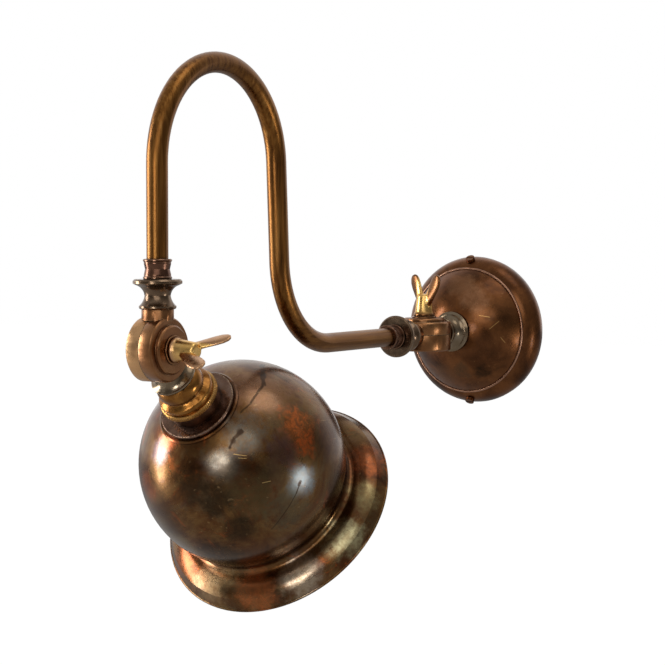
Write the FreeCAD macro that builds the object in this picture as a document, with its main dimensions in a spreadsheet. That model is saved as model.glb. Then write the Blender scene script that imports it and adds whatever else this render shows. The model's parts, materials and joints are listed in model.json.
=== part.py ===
"""Gooseneck wall sconce: wall rose, swinging gooseneck arm and tilting shade. Millimetres.

X runs right along the wall, the wall is the plane y = 0, the sconce stands on the -Y side, +Z is up.
The origin is the wall-side centre of the rose. The photographed pose is the rest pose.
"""
import FreeCAD
import Part
import Sketcher
import math
import os

doc = FreeCAD.newDocument("gooseneck_sconce")
sheet = doc.addObject("Spreadsheet::Sheet", "Sizes")

# Driving sizes, one cell each. Lengths in mm, angles in degrees.
DRIVING = {
    # fits
    "running_gap": 0.05,        # shaft in its hole, tube in its socket, screw in its thread
    "loose_gap": 0.2,           # screw through a clearance hole
    "seam_gap": 0.3,            # between two pieces that move past each other
    # wall rose
    "plate_radius": 44.0,
    "plate_thick": 2.0,
    "slot_pitch": 60.0,
    "slot_length": 12.0,
    "slot_width": 5.0,
    "rose_radius": 53.5,
    "rose_wall": 1.2,
    "rim_draft": 0.7,           # the rim draws in towards the wall
    "rim_height": 4.0,
    "rim_curve": 14.0,
    "step_inset": 8.1,          # outside of the rose to the step
    "step_lead": 0.4,
    "step_height": 16.6,
    "step_width": 1.0,
    "dome_curve": 55.0,
    "seat_radius": 14.5,
    "seat_height": 39.9,
    "cover_screw_height": 12.0,
    "cover_screw_shank": 2.0,
    "cover_screw_length": 11.0,
    "cover_screw_head": 3.3,
    "cover_screw_head_thick": 2.2,
    "screw_slot": 0.9,
    "post_radius": 4.0,
    "post_setback": 3.0,
    "thread_radius": 5.0,       # M10 conduit thread
    "nipple_bore": 3.6,
    "nipple_engage": 5.0,
    "tip_setback": 0.3,         # screw tips and nipple end short of the wall plane
    "washer_radius": 9.0,
    "washer_thick": 0.8,
    "locknut_flats": 14.0,
    "locknut_thick": 4.0,
    # terminal block and earth screw on the backplate
    "block_width": 30.0,
    "block_depth": 14.0,
    "block_height": 13.0,
    "block_drop": 22.0,
    "way_pitch": 9.0,
    "way_height": 7.0,
    "way_radius": 2.8,
    "way_bore": 1.6,
    "way_length": 12.0,
    "clamp_screw_radius": 1.45,
    "clamp_screw_length": 4.4,
    "clamp_screw_pitch": 7.0,
    "fixing_radius": 1.5,
    "fixing_head": 2.6,
    "fixing_head_thick": 1.8,
    "earth_offset": 20.0,
    "earth_shank": 2.0,
    "earth_head": 4.0,
    "earth_head_thick": 2.6,
    # knuckles
    "wall_reach": 80.5,         # wall to the swing axis
    "drum_radius": 18.8,
    "nut_side_thick": 11.5,
    "wall_back_thick": 11.5,
    "lamp_back_thick": 9.6,
    "face_step_radius": 14.4,
    "face_step": 2.6,
    "edge_break": 1.0,
    "drum_wall": 4.0,
    "drum_web": 4.5,
    "clamp_boss": 6.0,
    "bolt_radius": 3.0,
    "bolt_head_radius": 5.2,
    "bolt_head_thick": 2.6,
    "bolt_stub": 13.0,
    "neck_radius": 9.4,
    "neck_end": 23.4,
    "lamp_neck_end": 20.5,
    "lamp_neck_shift": 4.0,
    "wire_bore": 3.8,
    "knuckle_washer": 8.6,
    "knuckle_washer_thick": 1.0,
    # wing nuts
    "boss_base": 7.5,
    "boss_top": 4.9,
    "boss_height": 15.5,
    "nut_thread_depth": 13.4,
    "wing_thick": 2.8,
    "wing_width": 8.6,
    "wing_length": 20.0,
    "wing_root": 8.0,
    "wing_angle": 56.0,
    "wall_nut_turn": -24.0,
    "lamp_nut_turn": 28.0,
    # turned collars and ferrules at the knuckle necks
    "foot_ring_radius": 10.9,
    "foot_ring_thick": 2.4,
    "collar_waist": 7.6,
    "waist_rise": 7.9,
    "foot_curve": 9.0,
    "flare_curve": 7.0,
    "flange_radius": 14.4,
    "flange_thick": 3.4,
    "collar_length": 17.2,
    "foot_ring_break": 0.7,
    "flange_break": 1.8,
    "ferrule_length": 11.7,
    "ferrule_lip": 8.45,
    "ferrule_lip_thick": 1.7,
    "ferrule_ring": 7.9,
    "ferrule_ring_end": 2.7,
    "ferrule_waist": 7.2,
    "socket_depth": 4.6,
    # gooseneck tube
    "tube_radius": 6.35,
    "tube_wall": 1.2,
    "run_length": 126.5,        # swing axis to the start of the elbow
    "elbow_radius": 57.0,
    "elbow_turn": 87.0,
    "riser_length": 62.0,
    "arch_radius": 61.5,
    "limb_drop": 107.5,         # end of the arch to the tilt axis
    # lampholder
    "shade_tilt": 50.4,
    "lamp_collar_length": 6.3,
    "lamp_flange": 14.2,
    "lamp_flange_thick": 1.9,
    "holder_wall": 1.2,
    "cap_top": 9.0,
    "cap_bulge": 14.6,
    "cap_bulge_length": 9.7,
    "cap_curve": 7.4,
    "cap_groove": 13.6,
    "cap_groove_length": 1.2,
    "cap_skirt": 17.2,
    "cap_skirt_length": 6.3,
    "cap_flare_length": 2.5,
    "cap_boss": 7.5,
    "cap_boss_length": 4.0,
    "knurl_radius": 18.6,
    "knurl_length": 3.8,
    "knurl_break": 0.4,
    "holder_inner": 15.2,
    "holder_lap": 3.5,
    "skirt_radius": 16.8,
    "skirt_length": 7.7,
    "sleeve_radius": 14.0,
    "sleeve_length": 28.5,
    "bayonet_bore": 11.3,       # BC lamp cap is 22 mm
    "bayonet_relief": 12.3,     # wider round the contacts
    "bayonet_slot": 3.2,
    "bayonet_depth": 8.0,
    "bayonet_hook": 4.0,
    "core_radius": 13.2,
    "core_length": 14.0,
    "core_wire_bore": 1.0,
    "contact_pitch": 11.0,
    "plunger_radius": 2.5,
    "plunger_tip": 1.8,
    "plunger_body": 3.8,
    "plunger_reach": 3.4,
    "plunger_stop": 1.5,
    "spring_length": 7.2,
    "spring_radius": 1.9,
    "spring_wire": 0.3,
    "spring_pitch": 1.2,
    # shade and its rings
    "ring_radius": 24.0,
    "ring_thick": 2.5,
    "inner_ring_radius": 20.0,
    "inner_ring_thick": 3.3,
    "shade_wall": 1.2,
    "lip_radius": 26.2,
    "lip_bevel": 0.8,
    "dome_radius": 64.0,
    "lip_height": 1.6,          # top of the shade to where the dome starts
    "dome_turn": 120.0,         # arc of the dome, from its top
    "cove_radius": 4.0,
    "flange_spread": 13.1,      # top of the flange to its edge
    "flange_curve": 18.6,
    "rim_spread": 4.1,          # edge of the flange to the mouth
    "rim_drop": 6.6,
    "rim_lip": 0.5,
}

for row, (alias, number) in enumerate(DRIVING.items(), start=1):
    sheet.set(f"A{row}", alias)
    sheet.set(f"B{row}", str(number))
    sheet.setAlias(f"B{row}", alias)
doc.recompute()


class Size:
    """A size that carries its number and the sheet expression behind it."""

    def __init__(self, number, text):
        self.number = float(number)
        self.text = text

    @staticmethod
    def of(other):
        return other if isinstance(other, Size) else Size(other, f"({float(other):.9f})")

    def __add__(self, other):
        other = Size.of(other)
        return Size(self.number + other.number, f"({self.text} + {other.text})")

    def __sub__(self, other):
        other = Size.of(other)
        return Size(self.number - other.number, f"({self.text} - {other.text})")

    def __rsub__(self, other):
        return Size.of(other) - self

    def __mul__(self, factor):
        return Size(self.number * factor, f"({self.text} * ({factor:.9f}))")

    def __neg__(self):
        return self * -1.0

    def half(self):
        return self * 0.5

    def leg(self, other):
        """The other leg of a right triangle that has this hypotenuse."""
        number = math.sqrt(self.number ** 2 - other.number ** 2)
        return Size(number, f"sqrt({self.text} ^ 2 - {other.text} ^ 2)")


class Sizes:
    """Reads a driving size from the sheet by its alias."""

    def __getattr__(self, alias):
        return Size(sheet.get(alias), f"Sizes.{alias}")


d = Sizes()
ZERO = Size(0.0, "0")
NODES = []


def bind(target, **sizes):
    """Bind properties of an object to sheet expressions."""
    for name, size in sizes.items():
        size = Size.of(size)
        setattr(target, name, size.number)
        target.setExpression(name, size.text)
    return target


def place(target, position, rotation=None):
    """Place an object and bind its position to the sheet."""
    position = [Size.of(value) for value in position]
    vector = FreeCAD.Vector(*[value.number for value in position])
    target.Placement = FreeCAD.Placement(vector, rotation or FreeCAD.Rotation())
    for axis, value in zip("xyz", position):
        target.setExpression(f"Placement.Base.{axis}", value.text)
    return target


def node(target, label):
    """Name a finished sub-part; the label names its file."""
    target.Label = label
    NODES.append(target)
    return target


def frame_rotation(x_axis, z_axis):
    """Rotation that turns local X and Z into the given directions."""
    x_axis = FreeCAD.Vector(*x_axis)
    z_axis = FreeCAD.Vector(*z_axis)
    return FreeCAD.Rotation(x_axis, z_axis.cross(x_axis), z_axis, "ZXY")


# ---- the four frames that the turned parts are made in -------------------------------------------

tilt = math.radians(d.shade_tilt.number)
lean = math.radians(90.0 - d.elbow_turn.number)
RUN_END = d.wall_reach + d.run_length
RISER_FOOT_OUT = RUN_END + d.elbow_radius * math.cos(lean)
RISER_FOOT_UP = d.elbow_radius * (1.0 - math.sin(lean))
RISER_TOP_OUT = RISER_FOOT_OUT + d.riser_length * math.sin(lean)
RISER_TOP_UP = RISER_FOOT_UP + d.riser_length * math.cos(lean)
LIMB_OUT = RISER_TOP_OUT + d.arch_radius * (math.cos(lean) + 1.0)
ARCH_UP = RISER_TOP_UP - d.arch_radius * math.sin(lean)
PIVOT_UP = ARCH_UP - d.limb_drop

WALL_FACE = ([ZERO, ZERO, ZERO], frame_rotation((1, 0, 0), (0, -1, 0)))
WALL_PIVOT = [ZERO, -d.wall_reach, ZERO]
LAMP_PIVOT = [ZERO, -LIMB_OUT, PIVOT_UP]
LAMP_AXIS_START = [-d.lamp_neck_shift, -LIMB_OUT, PIVOT_UP]
LAMP_AXIS = (0.0, math.sin(tilt), -math.cos(tilt))

# local +X: from the seam into the half; local +Z: along the neck, away from the joint axis
ARM_ROOT = (WALL_PIVOT, frame_rotation((0, 0, 1), (0, -1, 0)))
WALL_SIDE = (WALL_PIVOT, frame_rotation((0, 0, -1), (0, 1, 0)))
ARM_TIP = (LAMP_PIVOT, frame_rotation((1, 0, 0), (0, 0, 1)))
SHADE_SIDE = (LAMP_PIVOT, frame_rotation((-1, 0, 0), LAMP_AXIS))
LAMP_LINE = (LAMP_AXIS_START, frame_rotation((-1, 0, 0), LAMP_AXIS))


# ---- sketch helpers ------------------------------------------------------------------------------

def arc_between(start, end, radius, side):
    """Arc of under half a turn from start to end; its centre lies to the left (+1) or right (-1)."""
    chord = end.sub(start)
    middle = (start + end) * 0.5
    left = FreeCAD.Vector(-chord.y, chord.x, 0).normalize()
    height = math.sqrt(radius ** 2 - (chord.Length / 2) ** 2)
    centre = middle + left * (height * side)
    first, last = (start, end) if side > 0 else (end, start)
    angle_first = math.atan2(first.y - centre.y, first.x - centre.x)
    angle_last = math.atan2(last.y - centre.y, last.x - centre.x)
    circle = Part.Circle(centre, FreeCAD.Vector(0, 0, 1), radius)
    return Part.ArcOfCircle(circle, angle_first, angle_last)


def trace(sketch, points, closed=True):
    """Draw lines and arcs through points (x, y) or (x, y, radius, side), all bound to the sheet.

    The radius and side of a point describe the arc that leads to it.
    """
    corners = [FreeCAD.Vector(point[0].number, point[1].number, 0) for point in points]
    count = len(points)
    ends = []
    for index in range(count if closed else count - 1):
        after = (index + 1) % count
        if len(points[after]) == 4:
            radius, side = points[after][2:]
            arc = sketch.addGeometry(arc_between(corners[index], corners[after], radius.number, side))
            ends.append((arc, 1, 2) if side > 0 else (arc, 2, 1))
            constraint = sketch.addConstraint(Sketcher.Constraint("Radius", arc, radius.number))
            sketch.setExpression(f"Constraints[{constraint}]", radius.text)
        else:
            line = sketch.addGeometry(Part.LineSegment(corners[index], corners[after]))
            ends.append((line, 1, 2))
    for index, (shape, _, finish) in enumerate(ends):
        if closed or index + 1 < len(ends):
            next_shape, next_start, _ = ends[(index + 1) % len(ends)]
            sketch.addConstraint(Sketcher.Constraint("Coincident", shape, finish, next_shape, next_start))
    anchors = [(shape, begin) for shape, begin, _ in ends]
    if not closed:
        anchors.append((ends[-1][0], ends[-1][2]))
    for (shape, end), point in zip(anchors, points):
        for kind, axis, value in (("DistanceX", -2, point[0]), ("DistanceY", -1, point[1])):
            if value.number == 0.0:
                sketch.addConstraint(Sketcher.Constraint("PointOnObject", shape, end, axis))
                continue
            constraint = sketch.addConstraint(Sketcher.Constraint(kind, shape, end, value.number))
            sketch.setExpression(f"Constraints[{constraint}]", value.text)


def circle(sketch, radius, x=ZERO, y=ZERO):
    """Draw a circle whose radius and centre are bound to the sheet."""
    centre = FreeCAD.Vector(x.number, y.number, 0)
    shape = sketch.addGeometry(Part.Circle(centre, FreeCAD.Vector(0, 0, 1), radius.number))
    constraint = sketch.addConstraint(Sketcher.Constraint("Radius", shape, radius.number))
    sketch.setExpression(f"Constraints[{constraint}]", radius.text)
    for kind, axis, value in (("DistanceX", -2, x), ("DistanceY", -1, y)):
        if value.number == 0.0:
            sketch.addConstraint(Sketcher.Constraint("PointOnObject", shape, 3, axis))
            continue
        constraint = sketch.addConstraint(Sketcher.Constraint(kind, shape, 3, value.number))
        sketch.setExpression(f"Constraints[{constraint}]", value.text)


def sketch_on(body, role, name, lift=None):
    """New sketch on one of a body's own origin planes, lifted along the plane's normal."""
    plane = next(item for item in body.Origin.OriginFeatures if item.Role == role)
    sketch = body.newObject("Sketcher::SketchObject", name)
    sketch.AttachmentSupport = [(plane, "")]
    sketch.MapMode = "FlatFace"
    if lift is not None:
        sketch.AttachmentOffset = FreeCAD.Placement(FreeCAD.Vector(0, 0, lift.number), FreeCAD.Rotation())
        sketch.setExpression("AttachmentOffset.Base.z", lift.text)
    return sketch


def turn(body, name, outline, axis="V_Axis", cut=False):
    """Turn an outline of (radius, height) points round the body's Z axis, or X axis for H_Axis."""
    sketch = sketch_on(body, "XZ_Plane", name + "_outline")
    trace(sketch, outline)
    kind = "PartDesign::Groove" if cut else "PartDesign::Revolution"
    feature = body.newObject(kind, name)
    feature.Profile = sketch
    feature.ReferenceAxis = (sketch, [axis])
    feature.Angle = 360
    sketch.Visibility = False
    return feature


def turned(label, outline, frame):
    """A sub-part turned round the Z axis of a frame."""
    body = doc.addObject("PartDesign::Body", label)
    turn(body, label + "_turned", outline)
    place(body, *frame)
    return node(body, label)


# ---- primitive helpers ---------------------------------------------------------------------------

def cylinder(name, radius, height, position=(ZERO, ZERO, ZERO), rotation=None):
    shape = bind(doc.addObject("Part::Cylinder", name), Radius=radius, Height=height)
    return place(shape, position, rotation)


def box(name, length, width, height, position=(ZERO, ZERO, ZERO), rotation=None):
    shape = bind(doc.addObject("Part::Box", name), Length=length, Width=width, Height=height)
    return place(shape, position, rotation)


def fuse(name, shapes):
    joined = doc.addObject("Part::MultiFuse", name)
    joined.Shapes = shapes
    return joined


def cut(name, base, tools):
    """Cut one or more tools from a base."""
    result = doc.addObject("Part::Cut", name)
    result.Base = base
    result.Tool = tools[0] if len(tools) == 1 else fuse(name + "_tools", tools)
    return result


def group(label, shapes):
    """Several alike solids that share one node."""
    if len(shapes) == 1:
        return node(shapes[0], label)
    together = doc.addObject("Part::Compound", label)
    together.Links = shapes
    return node(together, label)


SLOT_SHARE = 0.45    # depth of a screw's slot in its head


def slotted_screw(name, shank, length, head, head_thick):
    """Screw with its head's underside at z = 0, its shank along -Z and a slot across the head."""
    shaft = cylinder(name + "_shank", shank, length + head_thick.half(), (ZERO, ZERO, -length))
    cap = cylinder(name + "_head", head, head_thick)
    depth = head_thick * SLOT_SHARE
    corner = (-head, -d.screw_slot.half(), head_thick - depth)
    slot = box(name + "_slot", head * 2.0, d.screw_slot, head_thick, corner)
    return cut(name, fuse(name + "_blank", [shaft, cap]), [slot])


# ---- wall rose -----------------------------------------------------------------------------------

PLATE_TOP = d.plate_thick
UP = frame_rotation((1, 0, 0), (0, 0, 1))

# the cover screws stand square to the curved rim of the cover
rim_centre_radius = d.rose_radius - d.rim_curve
screw_rise = d.cover_screw_height - d.rim_height
screw_lean = math.asin(screw_rise.number / d.rim_curve.number)
SCREW_SEAT = rim_centre_radius + d.rim_curve * math.cos(screw_lean)


def rim_screw_frame(side, inward):
    """Position and rotation of a cover screw's axis; side is +1 at the top and -1 at the bottom."""
    out = FreeCAD.Vector(0, side * math.cos(screw_lean), math.sin(screw_lean))
    radial = (SCREW_SEAT - inward * math.cos(screw_lean)) * side
    rise = d.cover_screw_height - inward * math.sin(screw_lean)
    return (ZERO, radial, rise), frame_rotation((1, 0, 0), out)


def make_backplate():
    """Steel disc with slots for the wall screws and two slanted posts for the cover screws."""
    disc = cylinder("plate_disc", d.plate_radius, d.plate_thick)
    posts = []
    holes = []
    post_length = (d.cover_screw_height - PLATE_TOP) * (1.0 / math.sin(screw_lean)) - d.post_setback
    buried = d.plate_thick
    for name, side in (("top", 1), ("bottom", -1)):
        foot, rotation = rim_screw_frame(side, d.post_setback + post_length + buried)
        posts.append(cylinder("post_" + name, d.post_radius, post_length + buried, foot, rotation))
        tip, rotation = rim_screw_frame(side, d.cover_screw_length + d.screw_slot)
        bore = d.cover_screw_shank + d.running_gap
        holes.append(cylinder("post_hole_" + name, bore, d.cover_screw_length, tip, rotation))
    floor_side = d.plate_radius * 2.0
    below = box("plate_underside", floor_side * 2.0, floor_side * 2.0, d.plate_radius,
                (-floor_side, -floor_side, -d.plate_radius))
    thread = d.thread_radius + d.running_gap
    holes.append(cylinder("plate_thread", thread, d.plate_thick * 3.0, (ZERO, ZERO, ZERO)))
    for side in (-1, 1):
        name = "slot_left" if side < 0 else "slot_right"
        middle = d.slot_pitch.half() * side
        corner = (middle - (d.slot_length - d.slot_width).half(), -d.slot_width.half(), ZERO)
        holes.append(box(name, d.slot_length - d.slot_width, d.slot_width, d.plate_thick * 3.0, corner))
        for end in (-1, 1):
            end_name = f"{name}_end_{'in' if end < 0 else 'out'}"
            centre = middle + (d.slot_length - d.slot_width).half() * end
            holes.append(cylinder(end_name, d.slot_width.half(), d.plate_thick * 3.0, (centre, ZERO, ZERO)))
    fixing = d.fixing_radius + d.running_gap
    holes.append(cylinder("plate_fixing_hole", fixing, d.plate_thick * 3.0,
                          (d.way_pitch.half(), -d.block_drop, ZERO)))
    earth = d.earth_shank + d.running_gap
    holes.append(cylinder("plate_earth_hole", earth, d.plate_thick * 3.0,
                          (d.earth_offset, d.earth_offset, ZERO)))
    plate = cut("backplate_cut", fuse("backplate_blank", [disc] + posts), [below] + holes)
    place(plate, *WALL_FACE)
    return node(plate, "backplate")


def make_rose_cover():
    """Spun cover: convex rim, a stepped groove and a domed face up to the collar's seat."""
    wall = d.rose_wall
    step = d.rose_radius - d.step_inset
    shoulder = step - d.step_width
    step_foot = d.step_height + d.step_lead
    outline = [
        (d.rose_radius - d.rim_draft, ZERO),
        (d.rose_radius, d.rim_height),
        (step, d.step_height, d.rim_curve, 1),
        (shoulder, step_foot),
        (shoulder, step_foot + d.step_width),
        (d.seat_radius, d.seat_height, d.dome_curve, 1),
        (d.thread_radius + d.loose_gap, d.seat_height),
        (d.thread_radius + d.loose_gap, d.seat_height - wall),
        (d.seat_radius - wall.half(), d.seat_height - wall),
        (shoulder - wall, d.step_height + d.step_width, d.dome_curve - wall, -1),
        (shoulder - wall, d.step_height - wall.half()),
        (d.rose_radius - wall, d.rim_height, d.rim_curve - wall, -1),
        (d.rose_radius - wall - d.rim_draft, ZERO),
    ]
    body = doc.addObject("PartDesign::Body", "cover_body")
    turn(body, "cover_turned", outline)
    holes = []
    for name, side in (("top", 1), ("bottom", -1)):
        foot, rotation = rim_screw_frame(side, d.post_setback)
        bore = d.cover_screw_shank + d.loose_gap
        holes.append(cylinder("cover_hole_" + name, bore, d.post_setback * 2.0, foot, rotation))
    cover = cut("rose_cover_cut", body, holes)
    place(cover, *WALL_FACE)
    return node(cover, "rose_cover")


def make_cover_screws():
    screws = []
    for name, side in (("top", 1), ("bottom", -1)):
        length = d.cover_screw_length - d.post_setback
        screw = slotted_screw("cover_screw_" + name, d.cover_screw_shank, length, d.cover_screw_head,
                              d.cover_screw_head_thick)
        seat, rotation = rim_screw_frame(side, ZERO)
        place(screw, seat, rotation)
        screws.append(screw)
    pair = group("cover_screws", screws)
    place(pair, *WALL_FACE)
    return pair


def make_stem():
    """Hollow threaded nipple, washer and locknut that hold the wall collar on the backplate."""
    start = d.tip_setback
    end = d.seat_height + d.nipple_engage
    tube = [
        (d.nipple_bore, start), (d.thread_radius, start), (d.thread_radius, end), (d.nipple_bore, end),
    ]
    turned("bracket_nipple", tube, WALL_FACE)
    bore = d.thread_radius + d.running_gap
    washer_top = PLATE_TOP + d.washer_thick
    ring = [
        (bore, PLATE_TOP), (d.washer_radius, PLATE_TOP), (d.washer_radius, washer_top), (bore, washer_top),
    ]
    turned("star_washer", ring, WALL_FACE)
    prism = bind(doc.addObject("Part::Prism", "locknut_hex"), Height=d.locknut_thick,
                 Circumradius=d.locknut_flats.half() * (1.0 / math.cos(math.pi / 6)))
    prism.Polygon = 6
    hole = cylinder("locknut_thread", bore, d.locknut_thick)
    locknut = cut("nipple_locknut_cut", prism, [hole])
    position, rotation = WALL_FACE
    place(locknut, (ZERO, -washer_top, ZERO), rotation)
    node(locknut, "nipple_locknut")


def make_terminals():
    """Three-way terminal block on the backplate, with its tubes and screws."""
    gap = d.running_gap
    ways = [d.way_pitch * step for step in (-1, 0, 1)]
    across = frame_rotation((1, 0, 0), (0, 1, 0))
    start = -d.block_drop - d.way_length.half()
    level = PLATE_TOP + d.way_height
    screw_spots = [-d.block_drop + d.clamp_screw_pitch.half() * side for side in (-1, 1)]
    block_top = PLATE_TOP + d.block_height
    screw_foot = level + d.way_bore.half()
    openings = []
    tubes = []
    screws = []
    for index, way in enumerate(ways):
        openings.append(cylinder(f"way_hole_{index}", d.way_radius + gap, d.block_depth * 2.0,
                                   (way, -d.block_drop - d.block_depth, level), across))
        outside = cylinder(f"way_tube_{index}", d.way_radius, d.way_length, (way, start, level), across)
        inside = [cylinder(f"way_bore_{index}", d.way_bore, d.way_length, (way, start, level), across)]
        for spot_index, spot in enumerate(screw_spots):
            tag = f"{index}_{spot_index}"
            screws.append(cylinder("clamp_screw_" + tag, d.clamp_screw_radius, d.clamp_screw_length,
                                   (way, spot, screw_foot)))
            inside.append(cylinder("way_thread_" + tag, d.clamp_screw_radius + gap, d.block_height,
                                   (way, spot, level)))
            openings.append(cylinder("screw_access_" + tag, d.clamp_screw_radius + d.loose_gap,
                                       d.block_height, (way, spot, level)))
        tubes.append(cut(f"way_{index}", outside, inside))
    fixing_at = (d.way_pitch.half(), -d.block_drop)
    recess = d.block_height - d.fixing_head_thick
    openings.append(cylinder("fixing_way", d.fixing_radius + gap, d.block_height, (*fixing_at, PLATE_TOP)))
    openings.append(cylinder("fixing_recess", d.fixing_head + d.loose_gap, d.block_height,
                               (*fixing_at, PLATE_TOP + recess)))
    blank = box("block_blank", d.block_width, d.block_depth, d.block_height,
                (-d.block_width.half(), -d.block_drop - d.block_depth.half(), PLATE_TOP))
    block = cut("terminal_block_cut", blank, openings)
    place(block, *WALL_FACE)
    node(block, "terminal_block")
    place(group("terminal_tubes", tubes), *WALL_FACE)
    place(group("terminal_screws", screws), *WALL_FACE)
    screw = slotted_screw("fixing_screw", d.fixing_radius, recess + d.plate_thick - d.tip_setback,
                          d.fixing_head, d.fixing_head_thick)
    position, rotation = WALL_FACE
    place(screw, (d.way_pitch.half(), -(PLATE_TOP + recess), -d.block_drop), rotation)
    node(screw, "terminal_fixing_screw")
    earth = slotted_screw("earth_screw_cut", d.earth_shank, d.plate_thick - d.tip_setback, d.earth_head,
                          d.earth_head_thick)
    place(earth, (d.earth_offset, -PLATE_TOP, d.earth_offset), rotation)
    node(earth, "earth_screw")


# ---- knuckles ------------------------------------------------------------------------------------

def make_half(label, frame, thick, neck_end, shift, nut_side):
    """Half of a knuckle: a hollow drum round local X with a neck along local Z.

    The half fills local x > 0. Its neck straddles the seam, so it clears the other half's drum.
    """
    seam = d.seam_gap.half()
    break_edge = d.edge_break
    chamber = d.drum_radius - d.drum_wall
    floor = thick - d.drum_web
    bore = d.bolt_radius + d.running_gap
    outline = [
        (seam, bore),
        (seam, d.clamp_boss),
        (floor, d.clamp_boss),
        (floor, chamber),
        (seam, chamber),
        (seam, d.drum_radius),
    ]
    if nut_side:
        shoulder = thick - d.face_step
        outline += [
            (shoulder - break_edge, d.drum_radius),
            (shoulder, d.drum_radius - break_edge),
            (shoulder, d.face_step_radius),
            (thick - break_edge, d.face_step_radius),
            (thick, d.face_step_radius - break_edge),
            (thick, bore),
        ]
    else:
        pocket = d.bolt_head_radius + d.running_gap
        outline += [
            (thick - break_edge, d.drum_radius),
            (thick, d.drum_radius - break_edge),
            (thick, pocket),
            (thick - d.bolt_head_thick, pocket),
            (thick - d.bolt_head_thick, bore),
        ]
    body = doc.addObject("PartDesign::Body", label)
    turn(body, label + "_drum", outline, axis="H_Axis")
    neck_start = d.drum_radius - d.drum_wall.half()
    neck_sketch = sketch_on(body, "XY_Plane", label + "_neck_round", neck_start)
    circle(neck_sketch, d.neck_radius, x=shift)
    neck = body.newObject("PartDesign::Pad", label + "_neck")
    neck.Profile = neck_sketch
    bind(neck, Length=neck_end - neck_start)
    neck_sketch.Visibility = False
    # room for the other half, for the clamp's inside and for the wire
    reach = d.drum_radius * 2.0
    clear = d.drum_radius + d.seam_gap
    inner = [(floor, d.clamp_boss), (floor, chamber), (seam, chamber), (seam, clear),
             (-reach, clear), (-reach, d.clamp_boss)]
    turn(body, label + "_clearance", inner, axis="H_Axis", cut=True)
    wire_sketch = sketch_on(body, "XY_Plane", label + "_wire_round", chamber - d.edge_break * 2.0)
    circle(wire_sketch, d.thread_radius + d.running_gap, x=shift)
    wire = body.newObject("PartDesign::Pocket", label + "_wire")
    wire.Profile = wire_sketch
    wire.Reversed = True
    bind(wire, Length=neck_end)
    wire_sketch.Visibility = False
    place(body, *frame)
    return node(body, label)


def clamp_turned(label, outline, pivot, axis):
    """A piece turned round a knuckle's joint axis."""
    square = (0, 0, 1) if abs(axis[2]) < 0.5 else (1, 0, 0)
    return turned(label, outline, (pivot, frame_rotation(square, axis)))


def make_clamp(side, pivot, axis, back_thick, nut_turn):
    """Clamp bolt, washer and wing nut of one knuckle."""
    head = -back_thick
    seat = head + d.bolt_head_thick
    washer_foot = d.nut_side_thick
    washer_top = washer_foot + d.knuckle_washer_thick
    bolt_end = washer_top + d.bolt_stub
    bolt = [
        (ZERO, head), (d.bolt_head_radius, head), (d.bolt_head_radius, seat), (d.bolt_radius, seat),
        (d.bolt_radius, bolt_end), (ZERO, bolt_end),
    ]
    clamp_turned(f"{side}_clamp_bolt", bolt, pivot, axis)
    bore = d.bolt_radius + d.running_gap
    washer = [
        (bore, washer_foot), (d.knuckle_washer, washer_foot), (d.knuckle_washer, washer_top),
        (bore, washer_top),
    ]
    clamp_turned(f"{side}_washer", washer, pivot, axis)
    make_wing_nut(side, pivot, axis, washer_top + d.running_gap, nut_turn)


def make_wing_nut(side, pivot, axis, lift, nut_turn):
    """Tall tapered boss with two upswept wings in one plane through its axis."""
    boss = bind(doc.addObject("Part::Cone", f"{side}_nut_boss"),
                Radius1=d.boss_base, Radius2=d.boss_top, Height=d.boss_height)
    shapes = [boss]
    angle = math.radians(d.wing_angle.number)
    for name, sign in (("left", -1), ("right", 1)):
        sweep = frame_rotation((0, 1, 0), (sign * math.cos(angle), 0, math.sin(angle)))
        start = (d.boss_top.half() * sign, ZERO, d.wing_root)
        across = frame_rotation((0, 0, 1), (0, 1, 0))
        paddle = box(f"{side}_wing_{name}", d.wing_thick, d.wing_width, d.wing_length)
        thick_way = sweep.multVec(FreeCAD.Vector(1, 0, 0))
        width_way = sweep.multVec(FreeCAD.Vector(0, 1, 0))
        corner = [at - d.wing_thick.half() * thick_part - d.wing_width.half() * width_part
                  for at, thick_part, width_part in zip(start, thick_way, width_way)]
        place(paddle, corner, sweep)
        tip_x = start[0] + d.wing_length * (sign * math.cos(angle))
        tip_z = start[2] + d.wing_length * math.sin(angle)
        tip = cylinder(f"{side}_wing_tip_{name}", d.wing_width.half(), d.wing_thick,
                       (tip_x, -d.wing_thick.half(), tip_z), across)
        shapes += [paddle, tip]
    thread = cylinder(f"{side}_nut_thread", d.bolt_radius + d.running_gap, d.nut_thread_depth)
    nut = cut(f"{side}_wing_nut_cut", fuse(f"{side}_nut_blank", shapes), [thread])
    square = (0, 1, 0) if abs(axis[2]) < 0.5 else (1, 0, 0)
    spin = FreeCAD.Rotation(FreeCAD.Vector(0, 0, 1), nut_turn.number)
    position = [start + lift * part for start, part in zip(pivot, axis)]
    place(nut, position, frame_rotation(square, axis).multiply(spin))
    return node(nut, f"{side}_wing_nut")


# ---- collars, ferrules and the gooseneck ---------------------------------------------------------

SPIGOT_END = d.drum_radius + d.seam_gap * 2.0    # collar threads stop short of the other half's drum


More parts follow.
